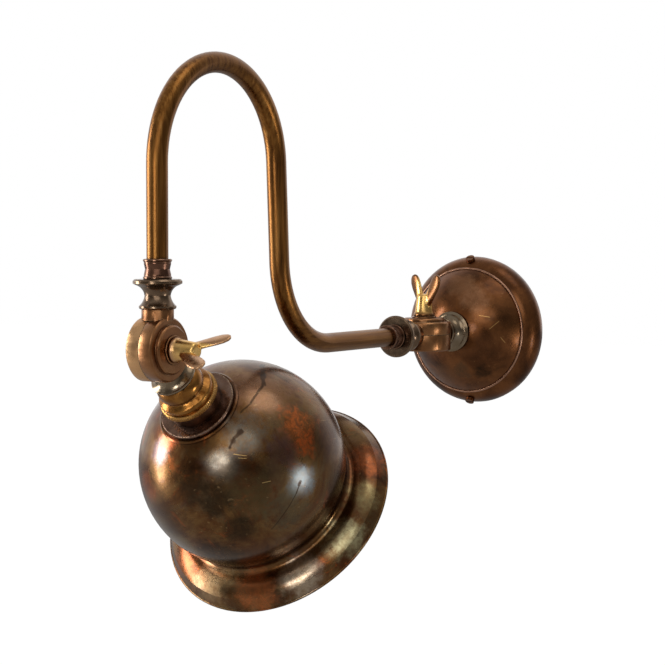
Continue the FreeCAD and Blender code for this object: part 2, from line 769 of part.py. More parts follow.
def collar_outline(socket_radius, socket_depth):
    """Vase-shaped collar with a spigot for the knuckle neck and a socket in its flange."""
    foot = d.neck_end
    top = foot + d.collar_length
    ring_top = foot + d.foot_ring_thick
    flange_foot = top - d.flange_thick
    soft = d.foot_ring_break
    return [
        (d.wire_bore, SPIGOT_END),
        (d.thread_radius, SPIGOT_END),
        (d.thread_radius, foot),
        (d.foot_ring_radius - soft, foot),
        (d.foot_ring_radius, foot + soft),
        (d.foot_ring_radius, ring_top - soft),
        (d.foot_ring_radius - soft, ring_top),
        (d.collar_waist, foot + d.waist_rise, d.foot_curve, -1),
        (d.flange_radius - d.flange_break, flange_foot, d.flare_curve, -1),
        (d.flange_radius, flange_foot + d.edge_break),
        (d.flange_radius, top - d.edge_break),
        (d.flange_radius - d.edge_break, top),
        (socket_radius + d.running_gap, top),
        (socket_radius + d.running_gap, top - socket_depth),
        (d.wire_bore, top - socket_depth),
    ]


def make_ferrule(label, frame):
    """Double-lipped ferrule that the tube passes through, seated on the collar's flange."""
    foot = d.neck_end + d.collar_length
    top = foot + d.ferrule_length
    lip = d.ferrule_lip_thick
    soft = d.edge_break.half()
    middle = foot + d.ferrule_length.half()
    bore = d.tube_radius + d.running_gap
    outline = [
        (bore, foot),
        (d.ferrule_lip - soft, foot),
        (d.ferrule_lip, foot + soft),
        (d.ferrule_lip, foot + lip - soft),
        (d.ferrule_lip - soft, foot + lip),
        (d.ferrule_ring, foot + lip + soft),
        (d.ferrule_ring, foot + d.ferrule_ring_end),
        (d.ferrule_waist, middle),
        (d.ferrule_ring, top - d.ferrule_ring_end),
        (d.ferrule_ring, top - lip - soft),
        (d.ferrule_lip - soft, top - lip),
        (d.ferrule_lip, top - lip + soft),
        (d.ferrule_lip, top - soft),
        (d.ferrule_lip - soft, top),
        (bore, top),
    ]
    return turned(label, outline, frame)


def make_gooseneck():
    """Bent tube from the arm's root collar, over the arch and down to its tip collar."""
    body = doc.addObject("PartDesign::Body", "gooseneck_tube")
    inset = d.neck_end + d.collar_length - d.socket_depth + d.running_gap
    start = d.wall_reach + inset
    route = sketch_on(body, "XZ_Plane", "tube_route")
    trace(route, [
        (start, ZERO),
        (RUN_END, ZERO),
        (RISER_FOOT_OUT, RISER_FOOT_UP, d.elbow_radius, 1),
        (RISER_TOP_OUT, RISER_TOP_UP),
        (LIMB_OUT, ARCH_UP, d.arch_radius, -1),
        (LIMB_OUT, PIVOT_UP + inset),
    ], closed=False)
    section = sketch_on(body, "YZ_Plane", "tube_section", start)
    circle(section, d.tube_radius)
    circle(section, d.tube_radius - d.tube_wall)
    pipe = body.newObject("PartDesign::AdditivePipe", "tube_pipe")
    pipe.Profile = section
    pipe.Spine = (route, [f"Edge{index}" for index in range(1, 6)])
    route.Visibility = False
    section.Visibility = False
    place(body, (ZERO, ZERO, ZERO), frame_rotation((0, -1, 0), (0, 0, 1)))
    return node(body, "gooseneck_tube")


# ---- lampholder ----------------------------------------------------------------------------------

CAP_FOOT = d.lamp_neck_end + d.lamp_collar_length
BULGE_END = CAP_FOOT + d.cap_bulge_length
GROOVE_END = BULGE_END + d.cap_groove_length
CAP_END = GROOVE_END + d.cap_skirt_length
KNURL_END = CAP_END + d.knurl_length
SKIRT_END = KNURL_END + d.skirt_length
SHADE_TOP = SKIRT_END + d.ring_thick
SLEEVE_END = SKIRT_END + d.sleeve_length
CORE_START = CAP_END - d.holder_lap + d.running_gap
CORE_END = CORE_START + d.core_length
BORE_START = CORE_END + d.plunger_reach + d.seam_gap
STOP_FOOT = CORE_END - d.plunger_stop
PLUNGER_TOP = STOP_FOOT - d.running_gap
PLUNGER_FOOT = PLUNGER_TOP - d.plunger_body
SPRING_FOOT = PLUNGER_FOOT - d.spring_length - d.running_gap


def make_lamp_collar():
    foot = d.lamp_neck_end
    socket = d.thread_radius + d.running_gap
    soft = d.edge_break.half()
    outline = [
        (d.wire_bore, SPIGOT_END),
        (d.thread_radius, SPIGOT_END),
        (d.thread_radius, foot),
        (d.neck_radius, foot),
        (d.lamp_flange - soft * 2.0, CAP_FOOT - d.lamp_flange_thick, d.foot_curve, -1),
        (d.lamp_flange, CAP_FOOT - d.lamp_flange_thick + soft),
        (d.lamp_flange, CAP_FOOT - soft),
        (d.lamp_flange - soft, CAP_FOOT),
        (socket, CAP_FOOT),
        (socket, CAP_FOOT - d.cap_boss_length),
        (d.wire_bore, CAP_FOOT - d.cap_boss_length),
    ]
    turned("lamp_collar", outline, LAMP_LINE)
    start = CAP_FOOT - d.cap_boss_length + d.running_gap
    end = CAP_FOOT + d.cap_boss_length
    nipple = [(d.nipple_bore, start), (d.thread_radius, start), (d.thread_radius, end), (d.nipple_bore, end)]
    turned("lamp_nipple", nipple, LAMP_LINE)


def make_cap():
    """Spun brass cap: rounded bulge, groove and flared skirt, with a threaded boss inside."""
    wall = d.holder_wall
    thread = d.thread_radius + d.running_gap
    shoulder = CAP_FOOT + d.cap_curve
    outline = [
        (thread, CAP_FOOT),
        (d.cap_top, CAP_FOOT),
        (d.cap_bulge, shoulder, d.cap_curve, 1),
        (d.cap_bulge, BULGE_END),
        (d.cap_groove, GROOVE_END),
        (d.cap_skirt, GROOVE_END + d.cap_flare_length),
        (d.cap_skirt, CAP_END),
        (d.cap_skirt - wall, CAP_END),
        (d.cap_skirt - wall, GROOVE_END + d.cap_flare_length + wall.half()),
        (d.cap_groove - wall, GROOVE_END + wall.half()),
        (d.cap_groove - wall, BULGE_END),
        (d.cap_groove - wall, shoulder + wall),
        (d.cap_boss, CAP_FOOT + d.cap_boss_length),
        (thread, CAP_FOOT + d.cap_boss_length),
    ]
    turned("lampholder_cap", outline, LAMP_LINE)


def make_knurled_ring():
    inner = d.holder_inner + d.running_gap
    soft = d.knurl_break
    outline = [
        (inner, CAP_END),
        (d.knurl_radius - soft, CAP_END),
        (d.knurl_radius, CAP_END + soft),
        (d.knurl_radius, KNURL_END - soft),
        (d.knurl_radius - soft, KNURL_END),
        (inner, KNURL_END),
    ]
    turned("knurled_ring", outline, LAMP_LINE)


def make_holder_body():
    """Brass holder body: lap inside the ring, visible skirt, threaded sleeve with bayonet slots."""
    top = CAP_END - d.holder_lap
    core = d.core_radius + d.running_gap
    outline = [
        (core, top),
        (d.holder_inner, top),
        (d.holder_inner, KNURL_END),
        (d.skirt_radius, KNURL_END),
        (d.skirt_radius, SKIRT_END),
        (d.sleeve_radius, SKIRT_END),
        (d.sleeve_radius, SLEEVE_END),
        (d.bayonet_bore, SLEEVE_END),
        (d.bayonet_bore, BORE_START),
        (d.bayonet_relief, BORE_START),
        (d.bayonet_relief, CORE_END + d.running_gap),
        (core, CORE_END + d.running_gap),
    ]
    body = doc.addObject("PartDesign::Body", "holder_body")
    turn(body, "holder_turned", outline)
    width = d.bayonet_slot
    slot_foot = SLEEVE_END - d.bayonet_depth
    full = d.sleeve_radius * 2.0 + d.edge_break * 2.0
    straight = box("bayonet_slots", full, width, d.bayonet_depth + d.edge_break,
                   (-full.half(), -width.half(), slot_foot))
    tools = [straight]
    for name, sign in (("left", -1), ("right", 1)):
        start = ZERO if sign > 0 else -full.half()
        side = -width.half() if sign > 0 else -width.half() - d.bayonet_hook
        tools.append(box("bayonet_hook_" + name, full.half(), width + d.bayonet_hook, width,
                         (start, side, slot_foot)))
    skirt = cut("lampholder_skirt_cut", body, tools)
    place(skirt, *LAMP_LINE)
    node(skirt, "lampholder_skirt")


def make_core():
    """Insulating core with two stepped bores for the sprung contacts."""
    blank = cylinder("core_blank", d.core_radius, d.core_length, (ZERO, ZERO, CORE_START))
    tools = []
    for index, side in enumerate((-1, 1), start=1):
        at = d.contact_pitch.half() * side
        tools.append(cylinder(f"contact_bore_{index}", d.plunger_radius + d.running_gap,
                              STOP_FOOT - SPRING_FOOT, (at, ZERO, SPRING_FOOT)))
        tools.append(cylinder(f"contact_mouth_{index}", d.plunger_tip + d.running_gap,
                              d.plunger_stop * 2.0, (at, ZERO, STOP_FOOT - d.running_gap)))
        tools.append(cylinder(f"wire_way_{index}", d.core_wire_bore, d.core_length, (at, ZERO, CORE_START)))
    core = cut("lampholder_insert_cut", blank, tools)
    place(core, *LAMP_LINE)
    node(core, "lampholder_insert")


def make_contact(index, side):
    """One sprung contact: a stepped plunger and the spring behind it."""
    at = d.contact_pitch.half() * side
    local = FreeCAD.Vector(1, 0, 0)
    across = LAMP_LINE[1].multVec(local)
    base = [start + at * part for start, part in zip(LAMP_AXIS_START, across)]
    frame = (base, LAMP_LINE[1])
    end = CORE_END + d.plunger_reach
    plunger = [
        (ZERO, PLUNGER_FOOT), (d.plunger_radius, PLUNGER_FOOT), (d.plunger_radius, PLUNGER_TOP),
        (d.plunger_tip, PLUNGER_TOP), (d.plunger_tip, end), (ZERO, end),
    ]
    turned(f"contact_plunger_{index}", plunger, frame)
    turns = d.spring_length - d.spring_wire * 4.0
    helix = bind(doc.addObject("Part::Helix", f"spring_path_{index}"), Pitch=d.spring_pitch, Height=turns,
                 Radius=d.spring_radius)
    section = bind(doc.addObject("Part::Circle", f"spring_section_{index}"), Radius=d.spring_wire)
    place(section, (d.spring_radius, ZERO, ZERO), frame_rotation((1, 0, 0), (0, -1, 0)))
    coil = doc.addObject("Part::Sweep", f"spring_coil_{index}")
    coil.Sections = [section]
    coil.Spine = (helix, ["Edge1"])
    coil.Solid = True
    coil.Frenet = True
    foot = SPRING_FOOT + d.spring_wire * 2.0
    place(coil, [value + foot * part for value, part in zip(base, LAMP_AXIS)], LAMP_LINE[1])
    node(coil, f"plunger_spring_{index}")


# ---- shade ---------------------------------------------------------------------------------------

def make_shade_rings():
    soft = d.edge_break.half()
    bore = d.sleeve_radius + d.running_gap
    upper = [
        (bore, SKIRT_END),
        (d.ring_radius - soft, SKIRT_END),
        (d.ring_radius, SKIRT_END + soft),
        (d.ring_radius, SHADE_TOP),
        (bore, SHADE_TOP),
    ]
    turned("upper_shade_ring", upper, LAMP_LINE)
    foot = SHADE_TOP + d.shade_wall
    lower = [
        (bore, foot),
        (d.inner_ring_radius, foot),
        (d.inner_ring_radius, foot + d.inner_ring_thick),
        (bore, foot + d.inner_ring_thick),
    ]
    turned("lower_shade_ring", lower, LAMP_LINE)


def make_shade():
    """Spun shade: flat top with a lip, near-spherical dome, cove, convex flange, flared rim."""
    wall = d.shade_wall
    top = SHADE_TOP
    lip_start = top + d.lip_height
    centre = lip_start + d.dome_radius.leg(d.lip_radius)
    inner_dome = d.dome_radius - wall
    inner_lip = d.lip_radius - wall
    inner_lip_start = centre - inner_dome.leg(inner_lip)
    end_turn = math.radians(d.dome_turn.number)
    out, down = math.sin(end_turn), -math.cos(end_turn)
    cove_out = (d.dome_radius + d.cove_radius) * out
    cove_down = centre + (d.dome_radius + d.cove_radius) * down
    flange_top = cove_down + d.cove_radius
    flange_edge = cove_out + d.flange_spread
    flange_sweep = math.asin(d.flange_spread.number / d.flange_curve.number)
    flange_centre = flange_top + d.flange_curve
    inner_curve = d.flange_curve - wall
    edge_down = flange_centre - d.flange_curve.leg(d.flange_spread)
    rim_radius = flange_edge + d.rim_spread
    rim_down = edge_down + d.rim_drop
    outline = [
        (d.sleeve_radius + d.loose_gap, top),
        (d.lip_radius - d.lip_bevel, top),
        (d.lip_radius, top + d.lip_bevel),
        (d.lip_radius, lip_start),
        (d.dome_radius * out, centre + d.dome_radius * down, d.dome_radius, 1),
        (cove_out, flange_top, d.cove_radius, -1),
        (flange_edge, edge_down, d.flange_curve, 1),
        (rim_radius, rim_down),
        (rim_radius - wall, rim_down + d.rim_lip),
        (cove_out + inner_curve * math.sin(flange_sweep),
         flange_centre - inner_curve * math.cos(flange_sweep)),
        (cove_out, flange_top + wall, inner_curve, -1),
        (inner_dome * out, centre + inner_dome * down, d.cove_radius + wall, 1),
        (inner_lip, inner_lip_start, inner_dome, -1),
        (inner_lip, top + wall),
        (d.sleeve_radius + d.loose_gap, top + wall),
    ]
    turned("shade", outline, LAMP_LINE)


# ---- assembly ------------------------------------------------------------------------------------

make_backplate()
make_rose_cover()
make_cover_screws()
make_stem()
make_terminals()

make_half("wall_knuckle_base", WALL_SIDE, d.wall_back_thick, d.neck_end, ZERO, nut_side=False)
make_half("wall_knuckle_arm", ARM_ROOT, d.nut_side_thick, d.neck_end, ZERO, nut_side=True)
make_half("lamp_knuckle_arm", ARM_TIP, d.nut_side_thick, d.neck_end, ZERO, nut_side=True)
make_half("lamp_knuckle_shade", SHADE_SIDE, d.lamp_back_thick, d.lamp_neck_end, d.lamp_neck_shift,
          nut_side=False)
make_clamp("wall", WALL_PIVOT, (0, 0, 1), d.wall_back_thick, d.wall_nut_turn)
make_clamp("lamp", LAMP_PIVOT, (1, 0, 0), d.lamp_back_thick, d.lamp_nut_turn)

turned("wall_collar", collar_outline(d.thread_radius, d.nipple_engage), WALL_SIDE)
turned("arm_root_collar", collar_outline(d.tube_radius, d.socket_depth), ARM_ROOT)
turned("arm_tip_collar", collar_outline(d.tube_radius, d.socket_depth), ARM_TIP)
make_ferrule("arm_root_ferrule", ARM_ROOT)
make_ferrule("arm_tip_ferrule", ARM_TIP)
make_gooseneck()

make_lamp_collar()
make_cap()
make_knurled_ring()
make_holder_body()
make_core()
make_contact(1, -1)
make_contact(2, 1)
make_shade_rings()
make_shade()

doc.recompute()

for item in doc.Objects:
    faults = [state for state in item.State if state in ("Invalid", "Error")]
    if faults:
        raise RuntimeError(f"{item.Label}: {faults} {item.getStatusString()}")
for item in NODES:
    if item.Shape.isNull() or not item.Shape.isValid():
        raise RuntimeError(f"{item.Label}: bad shape")

os.makedirs("parts", exist_ok=True)
for item in NODES:
    item.Shape.exportStep(os.path.join("parts", item.Label + ".step"))
print(len(NODES), "nodes written")
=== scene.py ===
"""Looks of the gooseneck wall sconce: aged brass finishes, detailed wing nuts and knurling, studio."""
import bmesh
import bpy
import json
import math
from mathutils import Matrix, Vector


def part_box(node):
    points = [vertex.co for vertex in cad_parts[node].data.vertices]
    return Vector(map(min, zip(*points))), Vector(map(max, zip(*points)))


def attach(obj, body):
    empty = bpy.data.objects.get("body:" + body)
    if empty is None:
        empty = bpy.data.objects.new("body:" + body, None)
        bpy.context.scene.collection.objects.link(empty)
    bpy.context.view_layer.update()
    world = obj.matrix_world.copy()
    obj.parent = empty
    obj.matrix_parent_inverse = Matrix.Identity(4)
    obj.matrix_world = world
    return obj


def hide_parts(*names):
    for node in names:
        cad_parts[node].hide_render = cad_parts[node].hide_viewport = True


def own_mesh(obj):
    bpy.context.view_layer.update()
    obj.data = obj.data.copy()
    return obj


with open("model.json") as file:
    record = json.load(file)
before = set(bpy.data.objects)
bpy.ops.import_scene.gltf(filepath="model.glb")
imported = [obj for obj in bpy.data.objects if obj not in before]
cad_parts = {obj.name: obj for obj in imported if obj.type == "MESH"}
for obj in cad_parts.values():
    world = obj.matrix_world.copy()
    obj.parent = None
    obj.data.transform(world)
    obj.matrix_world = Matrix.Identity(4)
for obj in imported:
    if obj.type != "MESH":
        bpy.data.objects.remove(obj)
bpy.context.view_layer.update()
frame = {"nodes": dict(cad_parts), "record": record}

MM = 0.001
PHOTO_SIZE = 665.0

# ---- camera of the photograph ---------------------------------------------------------------------

CAMERA_AZIMUTH = math.radians(32.3)
CAMERA_ELEVATION = math.radians(3.06)
CAMERA_DISTANCE = 1.4013
CAMERA_TARGET = Vector((-0.03246, -0.150, 0.00324))
FOCAL_PIXELS = 2045.2
SENSOR = 36.0

LOOK = Vector((
    -math.sin(CAMERA_AZIMUTH) * math.cos(CAMERA_ELEVATION),
    math.cos(CAMERA_AZIMUTH) * math.cos(CAMERA_ELEVATION),
    -math.sin(CAMERA_ELEVATION),
))
RIGHT = LOOK.cross(Vector((0, 0, 1))).normalized()
OVER = RIGHT.cross(LOOK)
EYE = CAMERA_TARGET - LOOK * CAMERA_DISTANCE


def make_camera():
    data = bpy.data.cameras.new("camera")
    data.sensor_width = SENSOR
    data.lens = FOCAL_PIXELS * SENSOR / PHOTO_SIZE
    data.clip_end = 20.0
    camera = bpy.data.objects.new("camera", data)
    camera.location = EYE
    camera.rotation_euler = LOOK.to_track_quat("-Z", "Y").to_euler()
    bpy.context.scene.collection.objects.link(camera)
    bpy.context.scene.camera = camera


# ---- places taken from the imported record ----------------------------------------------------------

joints = {joint["name"]: joint for joint in frame["record"]["behaviour"]["joints"]}
mounts = {mount["name"]: mount for mount in frame["record"]["mounts"]}
WALL_PIVOT = Vector(joints["arm_swing"]["pos_m"])
LAMP_PIVOT = Vector(joints["shade_tilt"]["pos_m"])
LAMP_PIVOT.x = 0.0
UP = Vector((0, 0, 1))
ACROSS = Vector((1, 0, 0))
SOCKET = Vector(mounts["lamp_socket"]["pos_m"])
LAMP_AXIS = Vector(mounts["lamp_socket"]["axis"]).normalized()
AXIS_START = LAMP_PIVOT + Vector((SOCKET.x, 0.0, 0.0))

DOME_CENTRE = AXIS_START + LAMP_AXIS * (118.0 * MM)
DOME_RADIUS = 64.0 * MM
RIM_RADIUS = 76.1 * MM
RIM_ALONG = 168.0 * MM
FLANGE_RADIUS = 67.0 * MM
FLANGE_ALONG = 158.0 * MM
RING_ALONG = (44.0 * MM, 47.8 * MM)
RING_RADIUS = 18.6 * MM
RING_BORE = 15.25 * MM
ROSE_FACE = -30.0 * MM


def photo_ray(pixel):
    """Direction from the camera through a pixel of the photograph."""
    across = (pixel[0] - PHOTO_SIZE / 2) / FOCAL_PIXELS
    down = (pixel[1] - PHOTO_SIZE / 2) / FOCAL_PIXELS
    return (LOOK + RIGHT * across - OVER * down).normalized()


def on_dome(pixel):
    """Point of the shade's dome that shows at a pixel of the photograph."""
    ray = photo_ray(pixel)
    to_centre = DOME_CENTRE - EYE
    along = ray.dot(to_centre)
    miss = to_centre.length_squared - along ** 2
    return EYE + ray * (along - math.sqrt(max(DOME_RADIUS ** 2 - miss, 0.0)))


def on_flange(angle):
    """Point of the shade's flange at an angle round its axis; 0 is at the top, 90 towards +X."""
    turn = math.radians(angle)
    top = (UP - LAMP_AXIS * LAMP_AXIS.z).normalized()
    out = top * math.cos(turn) + ACROSS * math.sin(turn)
    return AXIS_START + LAMP_AXIS * FLANGE_ALONG + out * FLANGE_RADIUS


def on_rose(pixel):
    """Point at the middle height of the rose's face that shows at a pixel of the photograph."""
    ray = photo_ray(pixel)
    return EYE + ray * ((ROSE_FACE - EYE.y) / ray.y)


# ---- node helpers ---------------------------------------------------------------------------------

def tint(red, green, blue):
    """Linear colour of an sRGB colour given from 0 to 255."""
    def linear(value):
        value /= 255.0
        return value / 12.92 if value <= 0.04045 else ((value + 0.055) / 1.055) ** 2.4
    return (linear(red), linear(green), linear(blue), 1.0)


# near-black of the crevices: dirt and painted shade
DIRT_AND_SHADE = tint(16, 10, 6)
HAIRLINE = tint(206, 160, 104)
GOLD = tint(214, 168, 104)
RUBBED = tint(206, 170, 128)
FAR_SIDE = (-20.0 * MM, -15.0 * MM)         # a stroke fades out this deep below its surface
BOSS_EDGE = (5.6 * MM, 7.6 * MM)            # distance from a nut's axis over which its metal changes
HAIRLINE_TURNS = (0.4, 1.5, 2.6)


class Finish:
    """A Principled material that is built up from nodes."""

    def __init__(self, name, metallic=1.0, coat=0.0, coat_roughness=0.12):
        self.material = bpy.data.materials.new(name)
        self.material.use_nodes = True
        self.tree = self.material.node_tree
        self.shader = self.tree.nodes["Principled BSDF"]
        self.shader.inputs["Metallic"].default_value = metallic
        self.shader.inputs["Coat Weight"].default_value = coat
        self.shader.inputs["Coat Roughness"].default_value = coat_roughness
        self.place = self.tree.nodes.new("ShaderNodeTexCoord").outputs["Object"]
        self.fine_noise = None

    def link(self, source, target):
        self.tree.links.new(source, target)

    def stretched(self, x, y, z):
        """Object coordinates scaled by axis, for streaks."""
        mapping = self.tree.nodes.new("ShaderNodeMapping")
        mapping.inputs["Scale"].default_value = (x, y, z)
        self.link(self.place, mapping.inputs["Vector"])
        return mapping.outputs["Vector"]

    def noise(self, scale, detail=5.0, rough=0.55, warp=0.0, vector=None):
        node = self.tree.nodes.new("ShaderNodeTexNoise")
        node.inputs["Scale"].default_value = scale
        node.inputs["Detail"].default_value = detail
        node.inputs["Roughness"].default_value = rough
        node.inputs["Distortion"].default_value = warp
        self.link(vector or self.place, node.inputs["Vector"])
        return node.outputs["Fac"]

    def ramp(self, value, stops):
        """Colour ramp; each stop is (position, colour)."""
        node = self.tree.nodes.new("ShaderNodeValToRGB")
        elements = node.color_ramp.elements
        while len(elements) < len(stops):
            elements.new(0.5)
        for element, (position, colour) in zip(elements, stops):
            element.position = position
            element.color = colour
        self.link(value, node.inputs["Fac"])
        return node.outputs["Color"]

    def mix(self, factor, first, second):
        """Colour between the first, at factor 0, and the second."""
        node = self.tree.nodes.new("ShaderNodeMix")
        node.data_type = "RGBA"
        sockets = (node.inputs["Factor"], node.inputs[6], node.inputs[7])
        for socket, value in zip(sockets, (factor, first, second)):
            if isinstance(value, (float, tuple)):
                socket.default_value = value
            else:
                self.link(value, socket)
        return node.outputs[2]

    def calculate(self, operation, first, second=0.0):
        node = self.tree.nodes.new("ShaderNodeMath")
        node.operation = operation
        for socket, value in zip(node.inputs, (first, second)):
            if isinstance(value, float):
                socket.default_value = value
            else:
                self.link(value, socket)
        return node.outputs[0]

    def level(self, value, low, high, bottom=0.0, top=1.0):
        """Value eased from bottom to top while the input goes from low to high."""
        node = self.tree.nodes.new("ShaderNodeMapRange")
        node.interpolation_type = "SMOOTHSTEP"
        for name, number in (("From Min", low), ("From Max", high), ("To Min", bottom), ("To Max", top)):
            node.inputs[name].default_value = number
        self.link(value, node.inputs["Value"])
        return node.outputs["Result"]

    def near(self, point, radius, ragged, share, mottle=0.0):
        """The share close to a point, falling to 0 at a ragged edge; mottle breaks it up finely."""
        distance = self.tree.nodes.new("ShaderNodeVectorMath")
        distance.operation = "DISTANCE"
        distance.inputs[1].default_value = point
        self.link(self.place, distance.inputs[0])
        reach = self.calculate("DIVIDE", distance.outputs["Value"], radius)
        wander = self.calculate("MULTIPLY", self.noise(75.0, 8.0, 0.72), ragged * 2.0)
        mask = self.level(self.calculate("ADD", reach, wander), ragged + 0.35, ragged + 0.95, share, 0.0)
        if mottle:
            if self.fine_noise is None:
                self.fine_noise = self.noise(260.0, 8.0, 0.75, 0.8)
            flecks = self.level(self.fine_noise, 0.38, 0.62, 1.0 - mottle, 1.0)
            mask = self.calculate("MULTIPLY", mask, flecks)
        return mask

    def reach(self, origin, direction):
        """Signed distance from a point along a direction."""
        node = self.tree.nodes.new("ShaderNodeVectorMath")
        node.operation = "SUBTRACT"
        node.inputs[1].default_value = origin
        self.link(self.place, node.inputs[0])
        dot = self.tree.nodes.new("ShaderNodeVectorMath")
        dot.operation = "DOT_PRODUCT"
        dot.inputs[1].default_value = direction
        self.link(node.outputs["Vector"], dot.inputs[0])
        return dot.outputs["Value"]

    def away_from(self, point, axis):
        """0 inside a wing nut's boss, whose axis this is, and 1 outside it."""
        offset = self.tree.nodes.new("ShaderNodeVectorMath")
        offset.operation = "SUBTRACT"
        offset.inputs[1].default_value = point
        self.link(self.place, offset.inputs[0])
        across = self.tree.nodes.new("ShaderNodeVectorMath")
        across.operation = "CROSS_PRODUCT"
        across.inputs[1].default_value = axis
        self.link(offset.outputs["Vector"], across.inputs[0])
        length = self.tree.nodes.new("ShaderNodeVectorMath")
        length.operation = "LENGTH"
        self.link(across.outputs["Vector"], length.inputs[0])
        return self.level(length.outputs["Value"], *BOSS_EDGE)

    def stroke(self, start, stop, normal, half_width, share, wander=0.0):
        """The share along a thin line between two points of a surface, 0 elsewhere."""
        line = stop - start
        along = line.normalized()
        side = self.reach(start, along.cross(normal).normalized())
        if wander:
            sway = self.calculate("SUBTRACT", self.noise(160.0, 3.0, 0.6), 0.5)
            side = self.calculate("ADD", side, self.calculate("MULTIPLY", sway, wander * 2.0))
        thin = self.level(self.calculate("ABSOLUTE", side), half_width * 0.55, half_width, share, 0.0)
        middle = self.calculate("ABSOLUTE", self.reach(start.lerp(stop, 0.5), along))
        run = self.level(middle, line.length * 0.47, line.length * 0.5, 1.0, 0.0)
        front = self.level(self.reach(start, normal), *FAR_SIDE)
        return self.calculate("MULTIPLY", self.calculate("MULTIPLY", thin, run), front)

    def scratches(self, scale, low, high, share):
        """Sparse crossing hairlines: the share on a line."""
        lines = None
        for turn in HAIRLINE_TURNS:
            mapping = self.tree.nodes.new("ShaderNodeMapping")
            mapping.inputs["Rotation"].default_value = (turn, turn * 0.7, turn * 1.3)
            mapping.inputs["Scale"].default_value = (1.0, 0.03, 1.0)
            self.link(self.place, mapping.inputs["Vector"])
            grooves = self.noise(scale, 2.0, 0.5, 0.0, mapping.outputs["Vector"])
            hair = self.level(grooves, low, high, 0.0, share)
            lines = hair if lines is None else self.calculate("MAXIMUM", lines, hair)
        return lines

    def edge_wear(self, radius, share):
        """The share on sharp edges, where handling has rubbed the patina off."""
        bevel = self.tree.nodes.new("ShaderNodeBevel")
        bevel.samples = 4
        bevel.inputs["Radius"].default_value = radius
        geometry = self.tree.nodes.new("ShaderNodeNewGeometry")
        dot = self.tree.nodes.new("ShaderNodeVectorMath")
        dot.operation = "DOT_PRODUCT"
        self.link(bevel.outputs["Normal"], dot.inputs[0])
        self.link(geometry.outputs["Normal"], dot.inputs[1])
        return self.level(dot.outputs["Value"], 0.80, 0.985, share, 0.0)

    def dirt_and_painted_shade(self, base, reach, kept=0.25):
        """A colour darkened towards near-black where surfaces meet, by ambient occlusion: dirt and painted
        shade; kept is the share of the colour left there.
        """
        node = self.tree.nodes.new("ShaderNodeAmbientOcclusion")
        node.samples = 6
        node.inputs["Distance"].default_value = reach
        return self.mix(self.level(node.outputs["AO"], 0.35, 0.85, 1.0 - kept, 0.0), base, DIRT_AND_SHADE)

    def colour(self, source):
        self.link(source, self.shader.inputs["Base Color"])

    def roughness(self, source):
        self.link(source, self.shader.inputs["Roughness"])

    def bump(self, height, distance, strength=0.5):
        node = self.tree.nodes.new("ShaderNodeBump")
        node.inputs["Strength"].default_value = strength
        node.inputs["Distance"].default_value = distance
        self.link(height, node.inputs["Height"])
        self.link(node.outputs["Normal"], self.shader.inputs["Normal"])


# ---- finishes -------------------------------------------------------------------------------------

def patina(name, shades, gloss, blotch=90.0, contrast=0.5, coat=0.1, crevice=0.004, wear=0.0, marks=(),
           clouds=(), wing_tone_and_sheen=None):
    """Aged metal: clouds through the shades, faint grain, sparse hairlines, crevices darkened with dirt and
    painted shade, worn edges.

    blotch is the scale of the mottling, and more contrast gives it sharper edges.
    clouds are (point, size, ragged edge, colour, share) of a patch, on the rose painted highlights,
    reflections and shade, and marks (start, stop, normal) of a scratch.
    The wing colour argument is (point, axis, colour): away from that line the metal takes the colour; browner
    on the wall nut, lighter on the lamp nut, where it is a painted highlight on the wings.
    """
    finish = Finish(name, coat=coat)
    spread = 0.36 - 0.24 * contrast
    steps = [0.5 - spread + 2.0 * spread * index / (len(shades) - 1) for index in range(len(shades))]
    base = finish.ramp(finish.noise(blotch, 5.0, 0.55, 0.4), list(zip(steps, shades)))
    grain = finish.level(finish.noise(1100.0, 3.0, 0.5), 0.35, 0.65, 0.0, 0.12)
    base = finish.mix(grain, base, shades[0])
    base = finish.mix(finish.scratches(620.0, 0.72, 0.76, 0.16), base, HAIRLINE)
    for point, size, ragged, colour, share in clouds:
        base = finish.mix(finish.near(point, size, ragged, share, 0.4), base, colour)
    for start, stop, normal in marks:
        base = finish.mix(finish.stroke(start, stop, normal, ROSE_SCRATCH_WIDTH, 0.85), base, GOLD)
    if wing_tone_and_sheen:
        base = finish.mix(finish.away_from(*wing_tone_and_sheen[:2]), base, wing_tone_and_sheen[2])
    base = finish.dirt_and_painted_shade(base, crevice)
    if wear:
        base = finish.mix(finish.edge_wear(WORN_REACH, wear), base, RUBBED)
    finish.colour(base)
    finish.roughness(finish.level(finish.noise(blotch * 2.2, 5.0, 0.6), 0.3, 0.7, gloss, gloss + 0.14))
    finish.bump(finish.noise(700.0, 3.0, 0.5), 0.00002, 0.35)
    return finish.material


def tube_brass():
    """Satin brass-brown with faint streaks along the tube: level in its run, upright in its limbs."""
    finish = Finish("tube_brass", coat=0.05, coat_roughness=0.28)
    separate = finish.tree.nodes.new("ShaderNodeSeparateXYZ")
    finish.link(finish.place, separate.inputs[0])
    upright = finish.level(separate.outputs["Z"], 0.012, 0.045)
    level_streaks = finish.noise(520.0, 4.0, 0.55, 0.1, finish.stretched(1.0, 0.04, 1.0))
    upright_streaks = finish.noise(520.0, 4.0, 0.55, 0.1, finish.stretched(1.0, 1.0, 0.04))
    streaks = finish.mix(upright, level_streaks, upright_streaks)
    base = finish.ramp(streaks, [
        (0.30, tint(98, 60, 24)), (0.50, tint(130, 84, 36)), (0.72, tint(154, 108, 54)),
    ])
    tone = finish.level(finish.noise(20.0, 3.0, 0.5), 0.34, 0.66, 0.35, 0.0)
    base = finish.mix(tone, base, tint(88, 56, 28))
    spots = finish.level(finish.noise(700.0, 4.0, 0.7), 0.68, 0.74, 0.0, 0.35)
    base = finish.mix(spots, base, tint(70, 46, 26))
    base = finish.dirt_and_painted_shade(base, 0.004)
    finish.colour(base)
    finish.roughness(finish.level(streaks, 0.3, 0.7, 0.27, 0.40))
    finish.bump(streaks, 0.00002, 0.4)
    return finish.material
